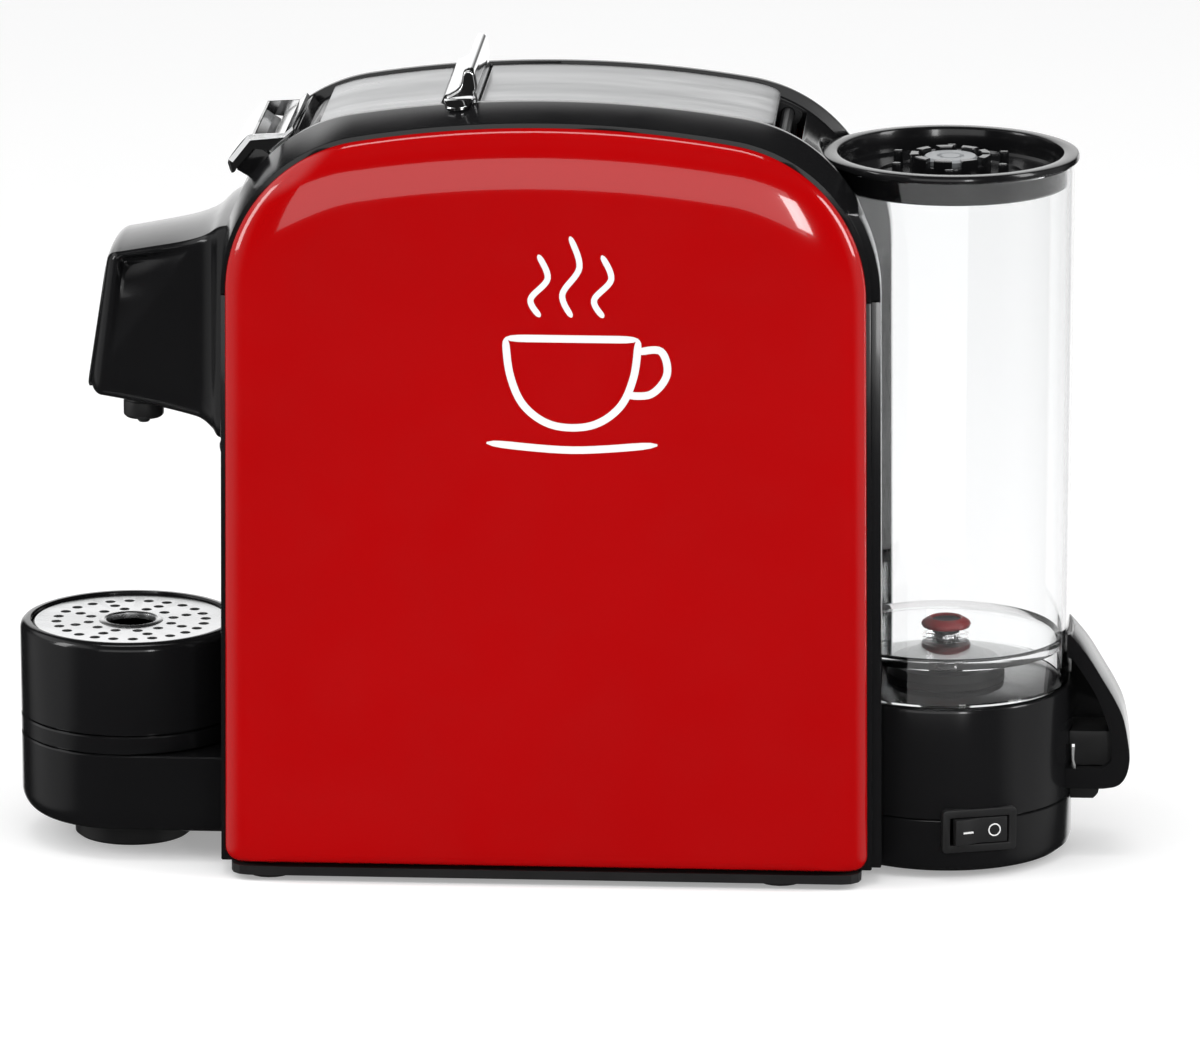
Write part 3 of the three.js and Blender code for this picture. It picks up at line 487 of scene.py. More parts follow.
def makeWorld():
    world = bpy.data.worlds.new("studio")
    world.use_nodes = True
    tree = world.node_tree
    back = tree.nodes["Background"]
    place = tree.nodes.new("ShaderNodeTexCoord")
    axes = tree.nodes.new("ShaderNodeSeparateXYZ")
    tree.links.new(place.outputs["Generated"], axes.inputs[0])

    def number(kind, first, second):
        node = tree.nodes.new("ShaderNodeMath")
        node.operation = kind
        for socket, value in zip(node.inputs, (first, second)):
            if isinstance(value, (int, float)):
                socket.default_value = value
            else:
                tree.links.new(value, socket)
        return node.outputs[0]

    def rise(field, start, end):
        node = tree.nodes.new("ShaderNodeMapRange")
        node.interpolation_type = "SMOOTHSTEP"
        node.inputs["From Min"].default_value = start
        node.inputs["From Max"].default_value = end
        tree.links.new(field, node.inputs["Value"])
        return node.outputs["Result"]

    x, y, z = axes.outputs
    upper = number("MULTIPLY", rise(z, 0.5, 0.36), rise(z, -0.02, 0.08))
    upper = number("MULTIPLY", upper, rise(x, 0.22, 0.06))
    lower = number("MULTIPLY", rise(z, 0.08, -0.02), rise(z, -0.42, -0.3))
    lower = number("MULTIPLY", lower, rise(x, 0.5, 0.35))
    behind = number("MULTIPLY", number("ADD", upper, lower), rise(y, 0.1, 0.5))
    behind = number("MULTIPLY", behind, rise(x, -0.45, -0.3))
    side = rise(number("ABSOLUTE", x, 0), 0.72, 0.95)
    nose = number("MULTIPLY", rise(x, -0.42, -0.62), rise(z, 0.3, 0.5))
    nose = number("MULTIPLY", nose, rise(y, 0.75, 0.5))
    cards = number("ADD", number("MULTIPLY", behind, room["rearCard"]), number("MULTIPLY", side, room["sideCard"]))
    cards = number("ADD", cards, number("MULTIPLY", nose, room["noseCard"]))
    sky = number("ADD", cards, room["dark"])
    path = tree.nodes.new("ShaderNodeLightPath")
    seen = path.outputs["Is Camera Ray"]
    plain = number("MULTIPLY", seen, room["seen"])
    strength = number("ADD", plain, number("MULTIPLY", sky, number("SUBTRACT", 1, seen)))
    tree.links.new(strength, back.inputs["Strength"])
    back.inputs["Color"].default_value = (1, 1, 1, 1)
    bpy.context.scene.world = world
    bpy.context.scene.view_settings.view_transform = "Standard"
    bpy.context.scene.view_settings.look = "None"


makeCamera()
for name, (place, target, width, height, watts) in studio.items():
    makeLight(name, place, target, width, height, watts)
makeDome()
makeFloor()
makeWorld()
print("stage ready")


# ---- Side panels ----

sidePanel = {
    "crown": 22,  # width of the rounded border
    "swell": 1.5,  # how early the border starts to turn
    "footCrown": 4.5,
    "corner": 5,
    "rings": 26,
}


def makeSidePanels():
    rows = []
    count = sidePanel["rings"]
    for i in range(count + 1):
        inset = 1 - cos(i / count * pi / 2)  # 0 at the rim, 1 where the flat face starts
        rise = sqrt(1 - (1 - inset) ** sidePanel["swell"])
        crown, footIn = sidePanel["crown"] * inset, sidePanel["footCrown"] * inset
        y = panelHigh.y + (panelLow.y - panelHigh.y) * rise
        line = archLine(-crown, -crown, 0, machine["bottom"] + footIn, sidePanel["corner"], fine=2)
        rows.append(atY(line, y))
    near = gridSkin("sidePanelNear", rows)
    far = mirrorCopy(near, "sidePanelFar")
    finishPiece(near, "body", redGloss, ["left_side_panel"], smooth=40)
    finishPiece(far, "body", redGloss, ["right_side_panel"], smooth=40)


makeSidePanels()
print("side panels ready")


# ---- Casing ----

podAngle = radians(131.6)  # where the button pod stands on the front shoulder
railRadius = machine["shoulderRadius"] + machine["railTop"] - machine["railLift"]
podSpot = Vector((
    machine["midX"] - (machine["half"] + machine["railSide"] - railRadius) + railRadius * cos(podAngle),
    0,
    machine["shoulderZ"] + machine["railLift"] + railRadius * sin(podAngle),
))
podHalf = nodeBox("button_bezel")[1].y
podTurn = Matrix.Rotation(pi / 2 - podAngle, 4, "Y")


def inPod(piece):
    piece.data.transform(Matrix.Translation(podSpot * mm) @ podTurn)
    return piece


def deckBlock(grow, y, x0, x1, z0):
    # What lies above the deck line between x0 and x1.
    sky = acrossY("sky", railLine(22), -y, y)
    cutWith(sky, acrossY("deck", railLine(grow - machine["recess"]), -y - 3, y + 3))
    return cutWith(sky, block("range", (x0, -y - 1, z0), (x1, y + 1, machine["top"] + 60)), "INTERSECT")


casing = {
    "cradleGap": 0.8,
    "seam": 0.45,
    "wall": 2.5,
    "floor": 7.5,
    "slot": (-24, 10),
    "slotHalf": 20,
    "wellHalf": 28,
    "hornOut": 3,
    "hornInner": 34,
    "hornOuter": 47.4,
}


def makeCasing():
    core = gridSkin("casing", [
        atY(archLine(machine["lip"], fine=2), -machine["coreHalf"]),
        atY(archLine(machine["lip"] + 0.1, fine=2), -machine["coreHalf"] + 0.6),
        atY(railLine(0, 2), -machine["railOuter"]),
        atY(railLine(0, 2), machine["railOuter"]),
        atY(archLine(machine["lip"] + 0.1, fine=2), machine["coreHalf"] - 0.6),
        atY(archLine(machine["lip"], fine=2), machine["coreHalf"]),
    ])
    radius = (baseHigh.x - baseLow.x) / 2 + casing["cradleGap"]
    wall = casing["wall"]
    hollow = acrossY("hollow", archLine(-wall, -wall - 0.5, 0, casing["floor"], 1), -55, 55)
    cutWith(hollow, pillar("cradleWall", (tankX, 0), radius + wall, -10, machine["top"] + 40, 96))
    cutWith(hollow, pillar("drumWall", (drumX, 0), drumX - cupLow.x + 1.8, 0, cupHigh.z + 4, 96))
    cutWith(core, hollow)
    for side in (-1, 1):
        horn = acrossY("horn", archLine(machine["lip"] + casing["hornOut"], bottom=machine["bottom"] + 0.3),
                       side * casing["hornInner"], side * casing["hornOuter"])
        cutWith(horn, block("hornRange", (panelHigh.x - 9, -60, -20), (tankX, 60, tubeHigh.z - 8)), "INTERSECT")
        cutWith(core, horn, "UNION")
    inner = machine["railInner"]
    cutWith(core, deckBlock(0, inner, frontX - 30, machine["midX"] + 0.5, machine["top"] - 22))
    cutWith(core, deckBlock(0, inner, machine["midX"], tankX, machine["shoulderZ"] + 12))
    cutWith(core, pillar("cradle", (tankX, 0), radius, -10, machine["top"] + 40, 160))
    ringLow = nodeBox("tray_ring")[0].z
    drumRadius = drumX - cupLow.x
    cutWith(core, pillar("drumRoom", (drumX, 0), drumRadius + 0.6, ringLow - 0.3, cupHigh.z + 1.8, 96))
    pinLow, pinHigh = nodeBox("lever_pin")
    pinMid = (pinLow.x + pinHigh.x) / 2
    cutWith(core, block("well", (pinMid - 12, -casing["wellHalf"], pinLow.z - 8),
                        (pinMid + 6, casing["wellHalf"], machine["top"] + 20)))
    slotStart, slotEnd = casing["slot"]
    cutWith(core, block("slot", (slotStart, -casing["slotHalf"], machine["top"] - 90),
                        (slotEnd, casing["slotHalf"], machine["top"] + 20)))
    cutWith(core, inPod(block("podSeat", (-20, -podHalf - 0.3, -0.2), (9.5, podHalf + 0.3, 20))))
    binLow, binHigh = nodeBox("capsule_bin")
    cutWith(core, block("drawerRoom", (frontX - 10, binLow.y - 0.6, binLow.z - 0.6),
                        (binHigh.x + 2, binHigh.y + 0.6, binHigh.z + 0.6)))
    stand = [(-11, -9), (-14.6, 2.4), (-12.9, 4.6), (-5.2, 5.9), (-3.6, -0.5), (9, -0.5), (9, -9)]
    pedestal = inPod(acrossY("pedestal", stand, -podHalf + 2.3, podHalf - 2.3))
    cutWith(core, pedestal, "UNION")
    buttonLow, buttonHigh = -3.3, 4.9
    cutWith(core, inPod(block("buttonRoom", (buttonLow, -podHalf + 2, -4), (buttonHigh, podHalf - 2, 20))))
    seamZ = (nodeBox("top_casing")[0].z + nodeBox("lower_casing")[1].z) / 2
    makeActive(core)
    bpy.ops.object.duplicate()
    upper = bpy.context.object
    upper.name = "topCasing"
    gap = casing["seam"] / 2
    cutWith(upper, block("under", (-300, -80, -20), (300, 80, seamZ + gap)))
    core.name = "lowerCasing"
    cutWith(core, block("over", (-300, -80, seamZ - gap), (300, 80, 400)))
    for piece, node in ((upper, "top_casing"), (core, "lower_casing")):
        closeUp(piece)
        roundEdges(piece, 0.45, 2, 24)
        finishPiece(piece, "body", blackGloss, [node], smooth=30)


makeCasing()
print("casing ready")

# ---- Small shapes ----

def curvedLine(points, steps=4, closed=False):
    # A smooth line through a few points.
    count = len(points)
    line = []
    for i in range(count if closed else count - 1):
        if closed:
            p = [Vector(points[(i + k) % count]) for k in (-1, 0, 1, 2)]
        else:
            p = [Vector(points[min(max(i + k, 0), count - 1)]) for k in (-1, 0, 1, 2)]
        for j in range(steps):
            t = j / steps
            line.append(tuple(0.5 * (
                2 * p[1] + (p[2] - p[0]) * t + (2 * p[0] - 5 * p[1] + 4 * p[2] - p[3]) * t ** 2
                + (3 * p[1] - p[0] - 3 * p[2] + p[3]) * t ** 3
            )))
    return line if closed else line + [tuple(points[-1])]


def archHeight(x, side, top, lift):
    # Height of the side outline over x.
    half = machine["half"] + side
    radius = machine["shoulderRadius"] + top - lift
    centreZ = machine["shoulderZ"] + lift
    offset = half - radius
    rise = machine["top"] + top - centreZ
    crown = (offset ** 2 + rise ** 2 - radius ** 2) / (2 * (rise - radius))
    meet = atan2(centreZ - (machine["top"] + top - crown), offset)
    away = abs(x - machine["midX"])
    if away > offset + radius * cos(meet):
        return centreZ + sqrt(max(radius ** 2 - (away - offset) ** 2, 0))
    return machine["top"] + top - crown + sqrt(crown ** 2 - away ** 2)


def railHeight(x, grow=0):
    return archHeight(x, machine["railSide"] + grow, machine["railTop"] + grow, machine["railLift"])


def smooth(value, start, end):
    t = min(max((value - start) / (end - start), 0), 1)
    return t * t * (3 - 2 * t)


def alongLine(points, share):
    # The point at a share of a line's length.
    lengths = [hypot(b[0] - a[0], b[1] - a[1]) for a, b in zip(points, points[1:])]
    rest = share * sum(lengths)
    for (a, b), length in zip(zip(points, points[1:]), lengths):
        if rest <= length or (a, b) == (points[-2], points[-1]):
            t = rest / length
            return a[0] + (b[0] - a[0]) * t, a[1] + (b[1] - a[1]) * t
        rest -= length


def heightAt(line, x):
    # The height of a line of rising x over one x.
    for (x0, z0), (x1, z1) in zip(line, line[1:]):
        if x <= x1:
            return z0 + (z1 - z0) * (x - x0) / max(x1 - x0, 1e-9)
    return line[-1][1]


# ---- Brew head ----

head = {
    "top": [(-1, 71.5), (-4.4, 70), (-8, 67), (-12, 65.2), (-18.1, 63.5), (-27.9, 61.6), (-36.6, 60)],
    "under": [(-1, -1.1), (-5.2, -1.1), (-7.4, 1), (-11, 3.6), (-16, 5), (-31.6, 8.3), (-42.8, 10.2)],
    "front": 4.6,  # how far the rounded front stands ahead of its rim
    "wide": [(0, 33), (0.1, 29.2), (0.2, 25.8), (0.36, 23.6), (0.65, 22.4), (1, 21.8)],
    "scoop": 6.2,
    "reach": 21,
    "creaseRear": (-9.5, 66),
    "creaseFront": (-39, 25),
    "lip": 2.4,  # how far below the top edge the scoop starts
    "foot": 7.5,
}


def makeHead():
    top = curvedLine(head["top"], 5)
    under = curvedLine(head["under"], 5)
    flank = curvedLine(head["wide"], 8)
    stations = 70
    crease = Vector(head["creaseFront"]) - Vector(head["creaseRear"])
    square = Vector((crease.y, -crease.x)).normalized()
    if square.y < 0:
        square = -square

    def ring(share, insetY=0.0, insetZ=0.0, ahead=0.0):
        tx, tz = alongLine(top, share)
        bx, bz = alongLine(under, share)
        wide = heightAt(flank, share)
        height = tz - bz
        near = []

        def put(level, y):
            # level is from 0 under to 1 on top
            z = bz + height * level
            x = bx + (tx - bx) * level
            z = z + insetZ * (1 - 2 * level)
            dx, dz = x, z
            depth = 0
            if insetY == 0 and ahead == 0:
                fromCrease = (Vector((dx, dz)) - Vector(head["creaseRear"])).dot(square)
                belowTop = tz - head["lip"] - z
                inward = 1 - min(max(fromCrease / head["reach"], 0), 1)
                shelf = 1 - 0.6 * (1 - (1 - min(max((belowTop - 3) / 14, 0), 1)) ** 2)
                depth = head["scoop"] * (1 - inward ** 1.7) * smooth(belowTop, 0, 3) * shelf
                depth *= 1 - smooth(share, 0.95, 1)
            share2 = min(1, abs(y) / wide)
            y = max(0, y * (1 - insetY / wide) - depth * smooth(share2, 0.85, 1))
            near.append((frontX + x - ahead, -y, spoutZ + z))

        edge, foot = 2.2, head["foot"]
        for i in range(9):
            t = i / 9
            put(1 - 1.4 * t * t / height, (wide - edge) * t)
        for i in range(7):
            a = i / 6 * pi / 2
            put(1 - (1.4 + edge * (1 - cos(a))) / height, wide - edge + edge * sin(a))
        for i in range(1, 60):
            level = 1 - (1.4 + edge) / height
            low = foot / height
            put(level + (low - level) * i / 60, wide)
        for i in range(9):
            a = i / 8 * pi / 2
            put(foot / height * (1 - sin(a)), wide - foot + foot * cos(a))
        for i in range(1, 7):
            put(0, (wide - foot) * (1 - i / 7))
        bottom = (near[-1][0], 0, near[-1][2])
        return near + [bottom] + [(x, -y, z) for x, y, z in reversed(near[1:])]

    rows = [ring(i / stations) for i in range(stations + 1)]
    for i in range(1, 9):
        a = i / 8 * pi / 2
        rows.append(ring(1, 7.5 * (1 - cos(a)), 4.6 * (1 - cos(a)), head["front"] * sin(a)))
    rim = [Vector(p) for p in rows[-1]]
    centre = sum(rim, Vector()) / len(rim)
    for share in (0.8, 0.6, 0.4, 0.2, 0.05):
        rows.append([centre + (p - centre) * share for p in rim])
    piece = gridSkin("brewHead", rows)
    finishPiece(piece, "body", blackGloss, ["brew_head"], smooth=50)

    low, high = nodeBox("head_front_plate")
    outline = []
    for (cy, cz), start in (((12.4, high.z - 4.5), 0), ((-12.4, high.z - 4.5), pi / 2),
                            ((-12.4, low.z + 4.5), pi), ((12.4, low.z + 4.5), 1.5 * pi)):
        outline += arcPoints(cy, cz, 4, start, start + pi / 2, 8)
    rings = []
    for grow, ahead in ((0, -1.2), (0, 0.15), (-0.3, 0.42), (-0.8, 0.55)):
        ring2 = []
        for y, z in outline:
            lean = 0.1527 * (z - spoutZ - 14.8)
            x = frontX - 47.4 + lean - ahead + 0.0009 * y * y
            k = 1 + grow / 16
            ring2.append((x, y * k, (z - (low.z + high.z) / 2) * k + (low.z + high.z) / 2))
        rings.append(ring2)
    face = gridSkin("headFacePlate", rings)
    finishPiece(face, "body", blackGloss, ["head_front_plate"], smooth=40)


makeHead()

nozzle = {"edge": 0.7}


def makeNozzle():
    radius = (nozzleHigh.x - nozzleLow.x) / 2
    z0, z1 = nozzleLow.z, nozzleHigh.z
    bore = 2.3
    piece = turned("spoutNozzle", [
        (bore, z1), (bore, z0 + 0.8), (bore + 0.5, z0), (radius - 0.9, z0), (radius, z0 + 0.9), (radius, z0 + 5.4),
        (radius - 0.5, z0 + 5.8), (radius - 0.5, z1), (bore, z1),
    ], (nozzleX, 0), 48)
    roundEdges(piece, 0.25, 2)
    finishPiece(piece, "body", blackSatin, ["spout_nozzle"])
    low, high = nodeBox("spout_tip")
    tip = turned("spoutTip", [
        (0, low.z + 0.9), (0.8, low.z + 0.9), (0.95, low.z), (1.6, low.z), (2, low.z + 0.5), (2, high.z), (0, high.z),
    ], (nozzleX, 0), 32)
    finishPiece(tip, "body", blackSatin, ["spout_tip"])


makeNozzle()
print("brew head ready")


# ---- Top plates and lever ----

plates = {"thick": 2, "clear": 0.3, "corner": 7, "edge": 0.35}


def makePlate(name, node, body, frontCorner, rearCorner):
    low, high = nodeBox(node)
    grow = -machine["recess"]
    half = high.y
    rows = []
    count = 22
    corner = plates["corner"]
    stations = 48
    for i in range(count + 1):
        y = -half + 2 * half * i / count
        past = max(abs(y) - (half - corner), 0)
        back = corner - sqrt(max(corner ** 2 - past ** 2, 0))
        x0 = low.x + (back if frontCorner else 0)
        x1 = high.x - (back if rearCorner else 0)
        line = [x0 + (x1 - x0) * k / stations for k in range(stations + 1)]
        over = [(x, y, railHeight(x, grow + plates["thick"] + plates["clear"])) for x in line]
        below = [(x, y, railHeight(x, grow + plates["clear"])) for x in reversed(line)]
        rows.append(over + below)
    piece = gridSkin(name, rows)
    roundEdges(piece, plates["edge"], 3, 50)
    return finishPiece(piece, body, satinSilver, [node], smooth=30)


makePlate("frontTopPlate", "front_top_plate", "body", False, False)
makePlate("leverPlate", "lever_plate", "lever", False, True)

grip = {"tabHalf": 39.8, "tabWide": 10}


def makeGrip():
    low, high = nodeBox("lever_grip")
    half = nodeBox("lever_plate")[1].y
    tipX = high.x - 3.1
    railZ = machine["top"] + machine["railTop"]
    rootZ = railZ - 2.4
    flare = [(-2.4, 5.9), (0.3, 5.1), (1.5, 4), (3, 3), (4.8, 2.4), (6.8, 2.05), (8.4, 1.7), (9.3, 0.9)]
    middle = (low.x + high.x) / 2
    front = [(middle + (tipX - middle) * smooth(z, 0, 4) - half, railZ + z) for z, half in flare]
    back = [(middle + (tipX - middle) * smooth(z, 0, 4) + half, railZ + z) for z, half in reversed(flare)]
    outline = curvedLine(front + [(tipX, high.z)] + back, 4)
    rows = []
    for i in range(29):
        t = i / 28 * 2 - 1
        y = t * half
        edge = smooth(abs(t), 0.93, 1)
        rows.append([
            (tipX + (x - tipX) * (1 - 0.16 * edge), y, z - 0.5 * edge * smooth(z, rootZ, high.z)) for x, z in outline
        ])
    fin = gridSkin("leverGrip", rows)
    roundEdges(fin, 0.5, 3, 50)
    tabs = []
    for side in (-1, 1):
        tabRows = []
        for i in range(13):
            t = i / 12
            y = side * (machine["railInner"] - 3 + (grip["tabHalf"] - machine["railInner"] + 3) * t)
            out = max(abs(y) - machine["railOuter"], 0)
            slope = (machine["railTop"] - machine["lip"]) / (machine["coreHalf"] - machine["railOuter"])
            wide = grip["tabWide"] * (1 - 0.34 * smooth(t, 0.2, 1)) * sqrt(max(1 - max((t - 0.9) / 0.105, 0) ** 2, 0.1))
            tabRing = []
            for k in range(25):
                a = k / 24 * 2 * pi
                x = middle + wide / 2 * (abs(cos(a)) ** 0.5 * (1 if cos(a) > 0 else -1))
                lift = 0.6 * (abs(sin(a)) ** 0.5 * (1 if sin(a) > 0 else -1)) + 0.62
                tabRing.append((x, y, railHeight(x) - slope * out + 0.25 + lift))
            tabRows.append(tabRing[:-1])
        tabs.append(gridSkin("tab", tabRows))
    piece = joinPieces([fin] + tabs, "leverGrip")
    finishPiece(piece, "lever", chromeTrim, ["lever_grip"], smooth=45)


makeGrip()

pod = {"rim": 2.4, "slant": 1.6, "button": (-3, 4.6)}


def makePod():
    rim = pod["rim"]
    lipLine = [
        (-16.5, 2.8), (-15.6, 5.2), (-14.4, 6.7), (-9.5, 7.9), (-4.2, 8.5), (-3.6, 6.9), (-8.6, 6.3), (-13.2, 5),
        (-14.4, 3.9), (-15, 2.6),
    ]
    sideLine = [
        (-16.5, 2.8), (-14.4, 6.7), (-4.2, 8.5), (4.9, 1.3), (8.2, 1.3), (8.2, 0.1), (-2, 0.1), (-5.6, 4.2),
        (-13.4, 3.2), (-15, 2.6),
    ]
    slant = pod["slant"]
    lowered = [(-15.7, 2.7), (-13.6, 5.3), (-4.7, 6.9), (4.3, 0.5), (8, 0.5)] + sideLine[5:]
    ends = podHalf - slant
    parts = [acrossY("bezel", curvedLine(lipLine, 2, closed=True), -ends, ends)]
    for side in (-1, 1):
        parts.append(gridSkin("bezelSide", [
            atY(lowered, side * podHalf), atY(sideLine, side * ends), atY(sideLine, side * (podHalf - rim)),
        ]))
    parts.append(block("bezelBar", (pod["button"][1] + 0.3, -ends, 0.1), (8.2, ends, 1.3)))
    whole = parts[0]
    for part in parts[1:]:
        cutWith(whole, part, "UNION")
    inPod(whole)
    closeUp(whole)
    roundEdges(whole, 0.45, 4, 30)
    whole.name = "buttonBezel"
    finishPiece(whole, "body", chromeTrim, ["button_bezel"])

    x0, x1 = pod["button"]
    half = podHalf - 2.3
    rows = []
    for i in range(25):
        y = -half + 2 * half * i / 24
        crown = 1.9 - 0.7 * (abs(y) / half) ** 4
        face = [(x0 + (x1 - x0) * k / 12, y, crown - 0.75 * (2 * k / 12 - 1) ** 2) for k in range(13)]
        rows.append([(x0, y, -2)] + face + [(x1, y, -2)])
    button = inPod(gridSkin("startButton", rows))
    roundEdges(button, 0.3, 3, 40)
    finishPiece(button, "button", pearlWhite, ["start_button"])

    inner = acrossY("podFrame", [(-12.6, 3), (-5.9, 4.4), (-4.2, 2.6), (-3.5, 0), (-4.6, 0), (-6.6, 3), (-12.6, 1.9)],
                    -podHalf + 2.5, podHalf - 2.5)
    inPod(inner)
    roundEdges(inner, 0.25, 2)
    finishPiece(inner, "body", blackSatin)


makePod()
print("top ready")


# ---- Drawer ----

drawer = {"tabHalf": 12, "edge": 0.5}


def makeDrawer():
    low, high = nodeBox("capsule_bin")
    half = high.y
    inside = 2
    face = block("capsuleDrawer", (frontX - 2.1, -half, low.z), (frontX + 2.2, half, high.z))
    tray = block("tray", (frontX + 0.5, -half + 1, low.z), (high.x, half - 1, high.z - 6))
    cutWith(tray, block("room", (frontX + 2.2, -half + 3, low.z + inside), (high.x - inside, half - 3, high.z + 9)))
    pull = acrossY("pull", curvedLine([
        (frontX - 1, high.z), (frontX - 5.4, high.z - 0.4), (frontX - 6.1, high.z - 1.6), (frontX - 5.7, high.z - 4.2),
        (frontX - 4, high.z - 9.6), (frontX - 1.4, high.z - 13.5),
    ], 4), -drawer["tabHalf"], drawer["tabHalf"])
    cutWith(face, tray, "UNION")
    cutWith(face, pull, "UNION")
    closeUp(face)
    roundEdges(face, drawer["edge"], 3, 35)
    finishPiece(face, "drawer", blackGloss, ["capsule_bin"])


makeDrawer()


# ---- Drip tray ----

tray = {
    "bottomRound": 8,
    "grooveDeep": 0.5,
    "backRun": 10,
    "holeRings": [(13.9, 12, 1.7), (18.7, 8, 1.7), (24.2, 24, 1.7)],
    "rim": 1.1,
}
drumRadius = drumX - cupLow.x


def makeTray():
    baseLowZ, baseHighZ = nodeBox("tray_base")[0].z, nodeBox("tray_base")[1].z
    back = frontX - drumX + 4
    fall = tray["bottomRound"]
    levels = [(fall * (1 - sin(i / 12 * pi / 2)), baseLowZ + fall * (1 - cos(i / 12 * pi / 2))) for i in range(13)]
    levels += [(0, baseHighZ - 0.5), (0.5, baseHighZ)]
    rows = []
    for inset, z in levels:
        radius = drumRadius - inset
        line = [(drumX + x, y, z) for x, y in arcPoints(0, 0, radius, pi / 2, 1.5 * pi, 72)]
        rows.append(line + [(drumX + back, -radius, z), (drumX + back, radius, z)])
    base = gridSkin("trayBase", rows)
    finishPiece(base, "body", blackGloss, ["tray_base"], smooth=40)

    low, high = nodeBox("tray_ring")
    ring = turned("trayRing", [
        (0, low.z), (drumRadius - 0.5, low.z), (drumRadius, low.z + 0.5), (drumRadius, high.z - 0.5),
        (drumRadius - 0.5, high.z), (0, high.z),
    ], (drumX, 0), 120)
    finishPiece(ring, "body", blackGloss, ["tray_ring"], smooth=40)

    grilleLow, grilleHigh = nodeBox("drip_grille")
    inner = grilleHigh.x - (grilleLow.x + grilleHigh.x) / 2 + 0.3
    z0, z1 = cupLow.z, cupHigh.z
    wall = 2.5
    edge = drumRadius - 2.2
    cup = turned("dripCup", [
        (0, z0), (drumRadius - 0.6, z0), (drumRadius, z0 + 0.6), (drumRadius, z1 - 2.6),
        (drumRadius - 0.35, z1 - 1.3), (drumRadius - 1.2, z1 - 0.4), (edge, z1), (inner + 0.5, z1),
        (inner, z1 - 0.5), (inner, grilleLow.z - 0.3), (inner - 2.2, grilleLow.z - 0.3),
        (inner - 2.2, grilleLow.z - 3), (drumRadius - wall, grilleLow.z - 7), (drumRadius - wall, z0 + wall + 2),
        (drumRadius - wall - 2, z0 + wall), (0, z0 + wall),
    ], (drumX, 0), 144)
    finishPiece(cup, "cup", blackGloss, ["drip_cup"], smooth=40)

    radius = (grilleHigh.x - grilleLow.x) / 2
    low, high = grilleLow.z, grilleHigh.z
    plate = turned("dripGrille", [
        (8, low), (radius - 0.4, low), (radius, low + 0.4), (radius, high - 0.9), (radius - 0.6, high - 0.3),
        (radius - 1.6, high - 0.45), (10.4, high - 0.45), (9.6, high + 0.05), (8.8, high + 0.15),
        (8.1, high - 0.2), (8, high - 0.8), (8, low),
    ], (drumX, 0), 120)
    holes = []
    for ringRadius, count, size in tray["holeRings"]:
        for i in range(count):
            a = 2 * pi * (i + 0.5 * (count % 4 == 0)) / count
            spot = (drumX + ringRadius * cos(a), ringRadius * sin(a))
            holes.append(pillar("hole", spot, size, low - 2, high + 2, 20))
    cutWith(plate, joinPieces(holes, "holes"))
    closeUp(plate)
    finishPiece(plate, "grille", grilleSteel, ["drip_grille"], smooth=30)

    foot = nodeBox("tray_foot")
    footRadius = (foot[1].x - foot[0].x) / 2
    pad = turned("trayFoot", [
        (0, 0), (footRadius - 1, 0), (footRadius, 0.8), (footRadius, foot[1].z), (0, foot[1].z),
    ], (drumX, 0), 64)
    finishPiece(pad, "body", blackSatin, ["tray_foot"])


makeTray()
print("tray ready")


# ---- Tank base, switch and handle ----

switch = {"turn": 17, "bezelWide": 24.5, "bezelHigh": 14.1, "wide": 19.5, "high": 9, "tilt": 8, "corner": 1.4}
rockerZ = (nodeBox("rocker_bezel")[0].z + nodeBox("rocker_bezel")[1].z) / 2
baseRadius = (baseHigh.x - baseLow.x) / 2
switchTurn = (
    Matrix.Translation(Vector((tankX, 0, 0)) * mm)
    @ Matrix.Rotation(radians(switch["turn"]), 4, "Z")
    @ Matrix.Translation(Vector((0, -baseRadius, rockerZ)) * mm)
)


def inSwitch(piece):
    piece.data.transform(switchTurn)
    return piece


def roundedBlock(name, halfX, halfZ, y0, y1, corner):
    outline = []
    for sx, sz, start in ((1, 1, 0), (-1, 1, pi / 2), (-1, -1, pi), (1, -1, 1.5 * pi)):
        outline += arcPoints(sx * (halfX - corner), sz * (halfZ - corner), corner, start, start + pi / 2, 6)
    return acrossY(name, outline, y0, y1)


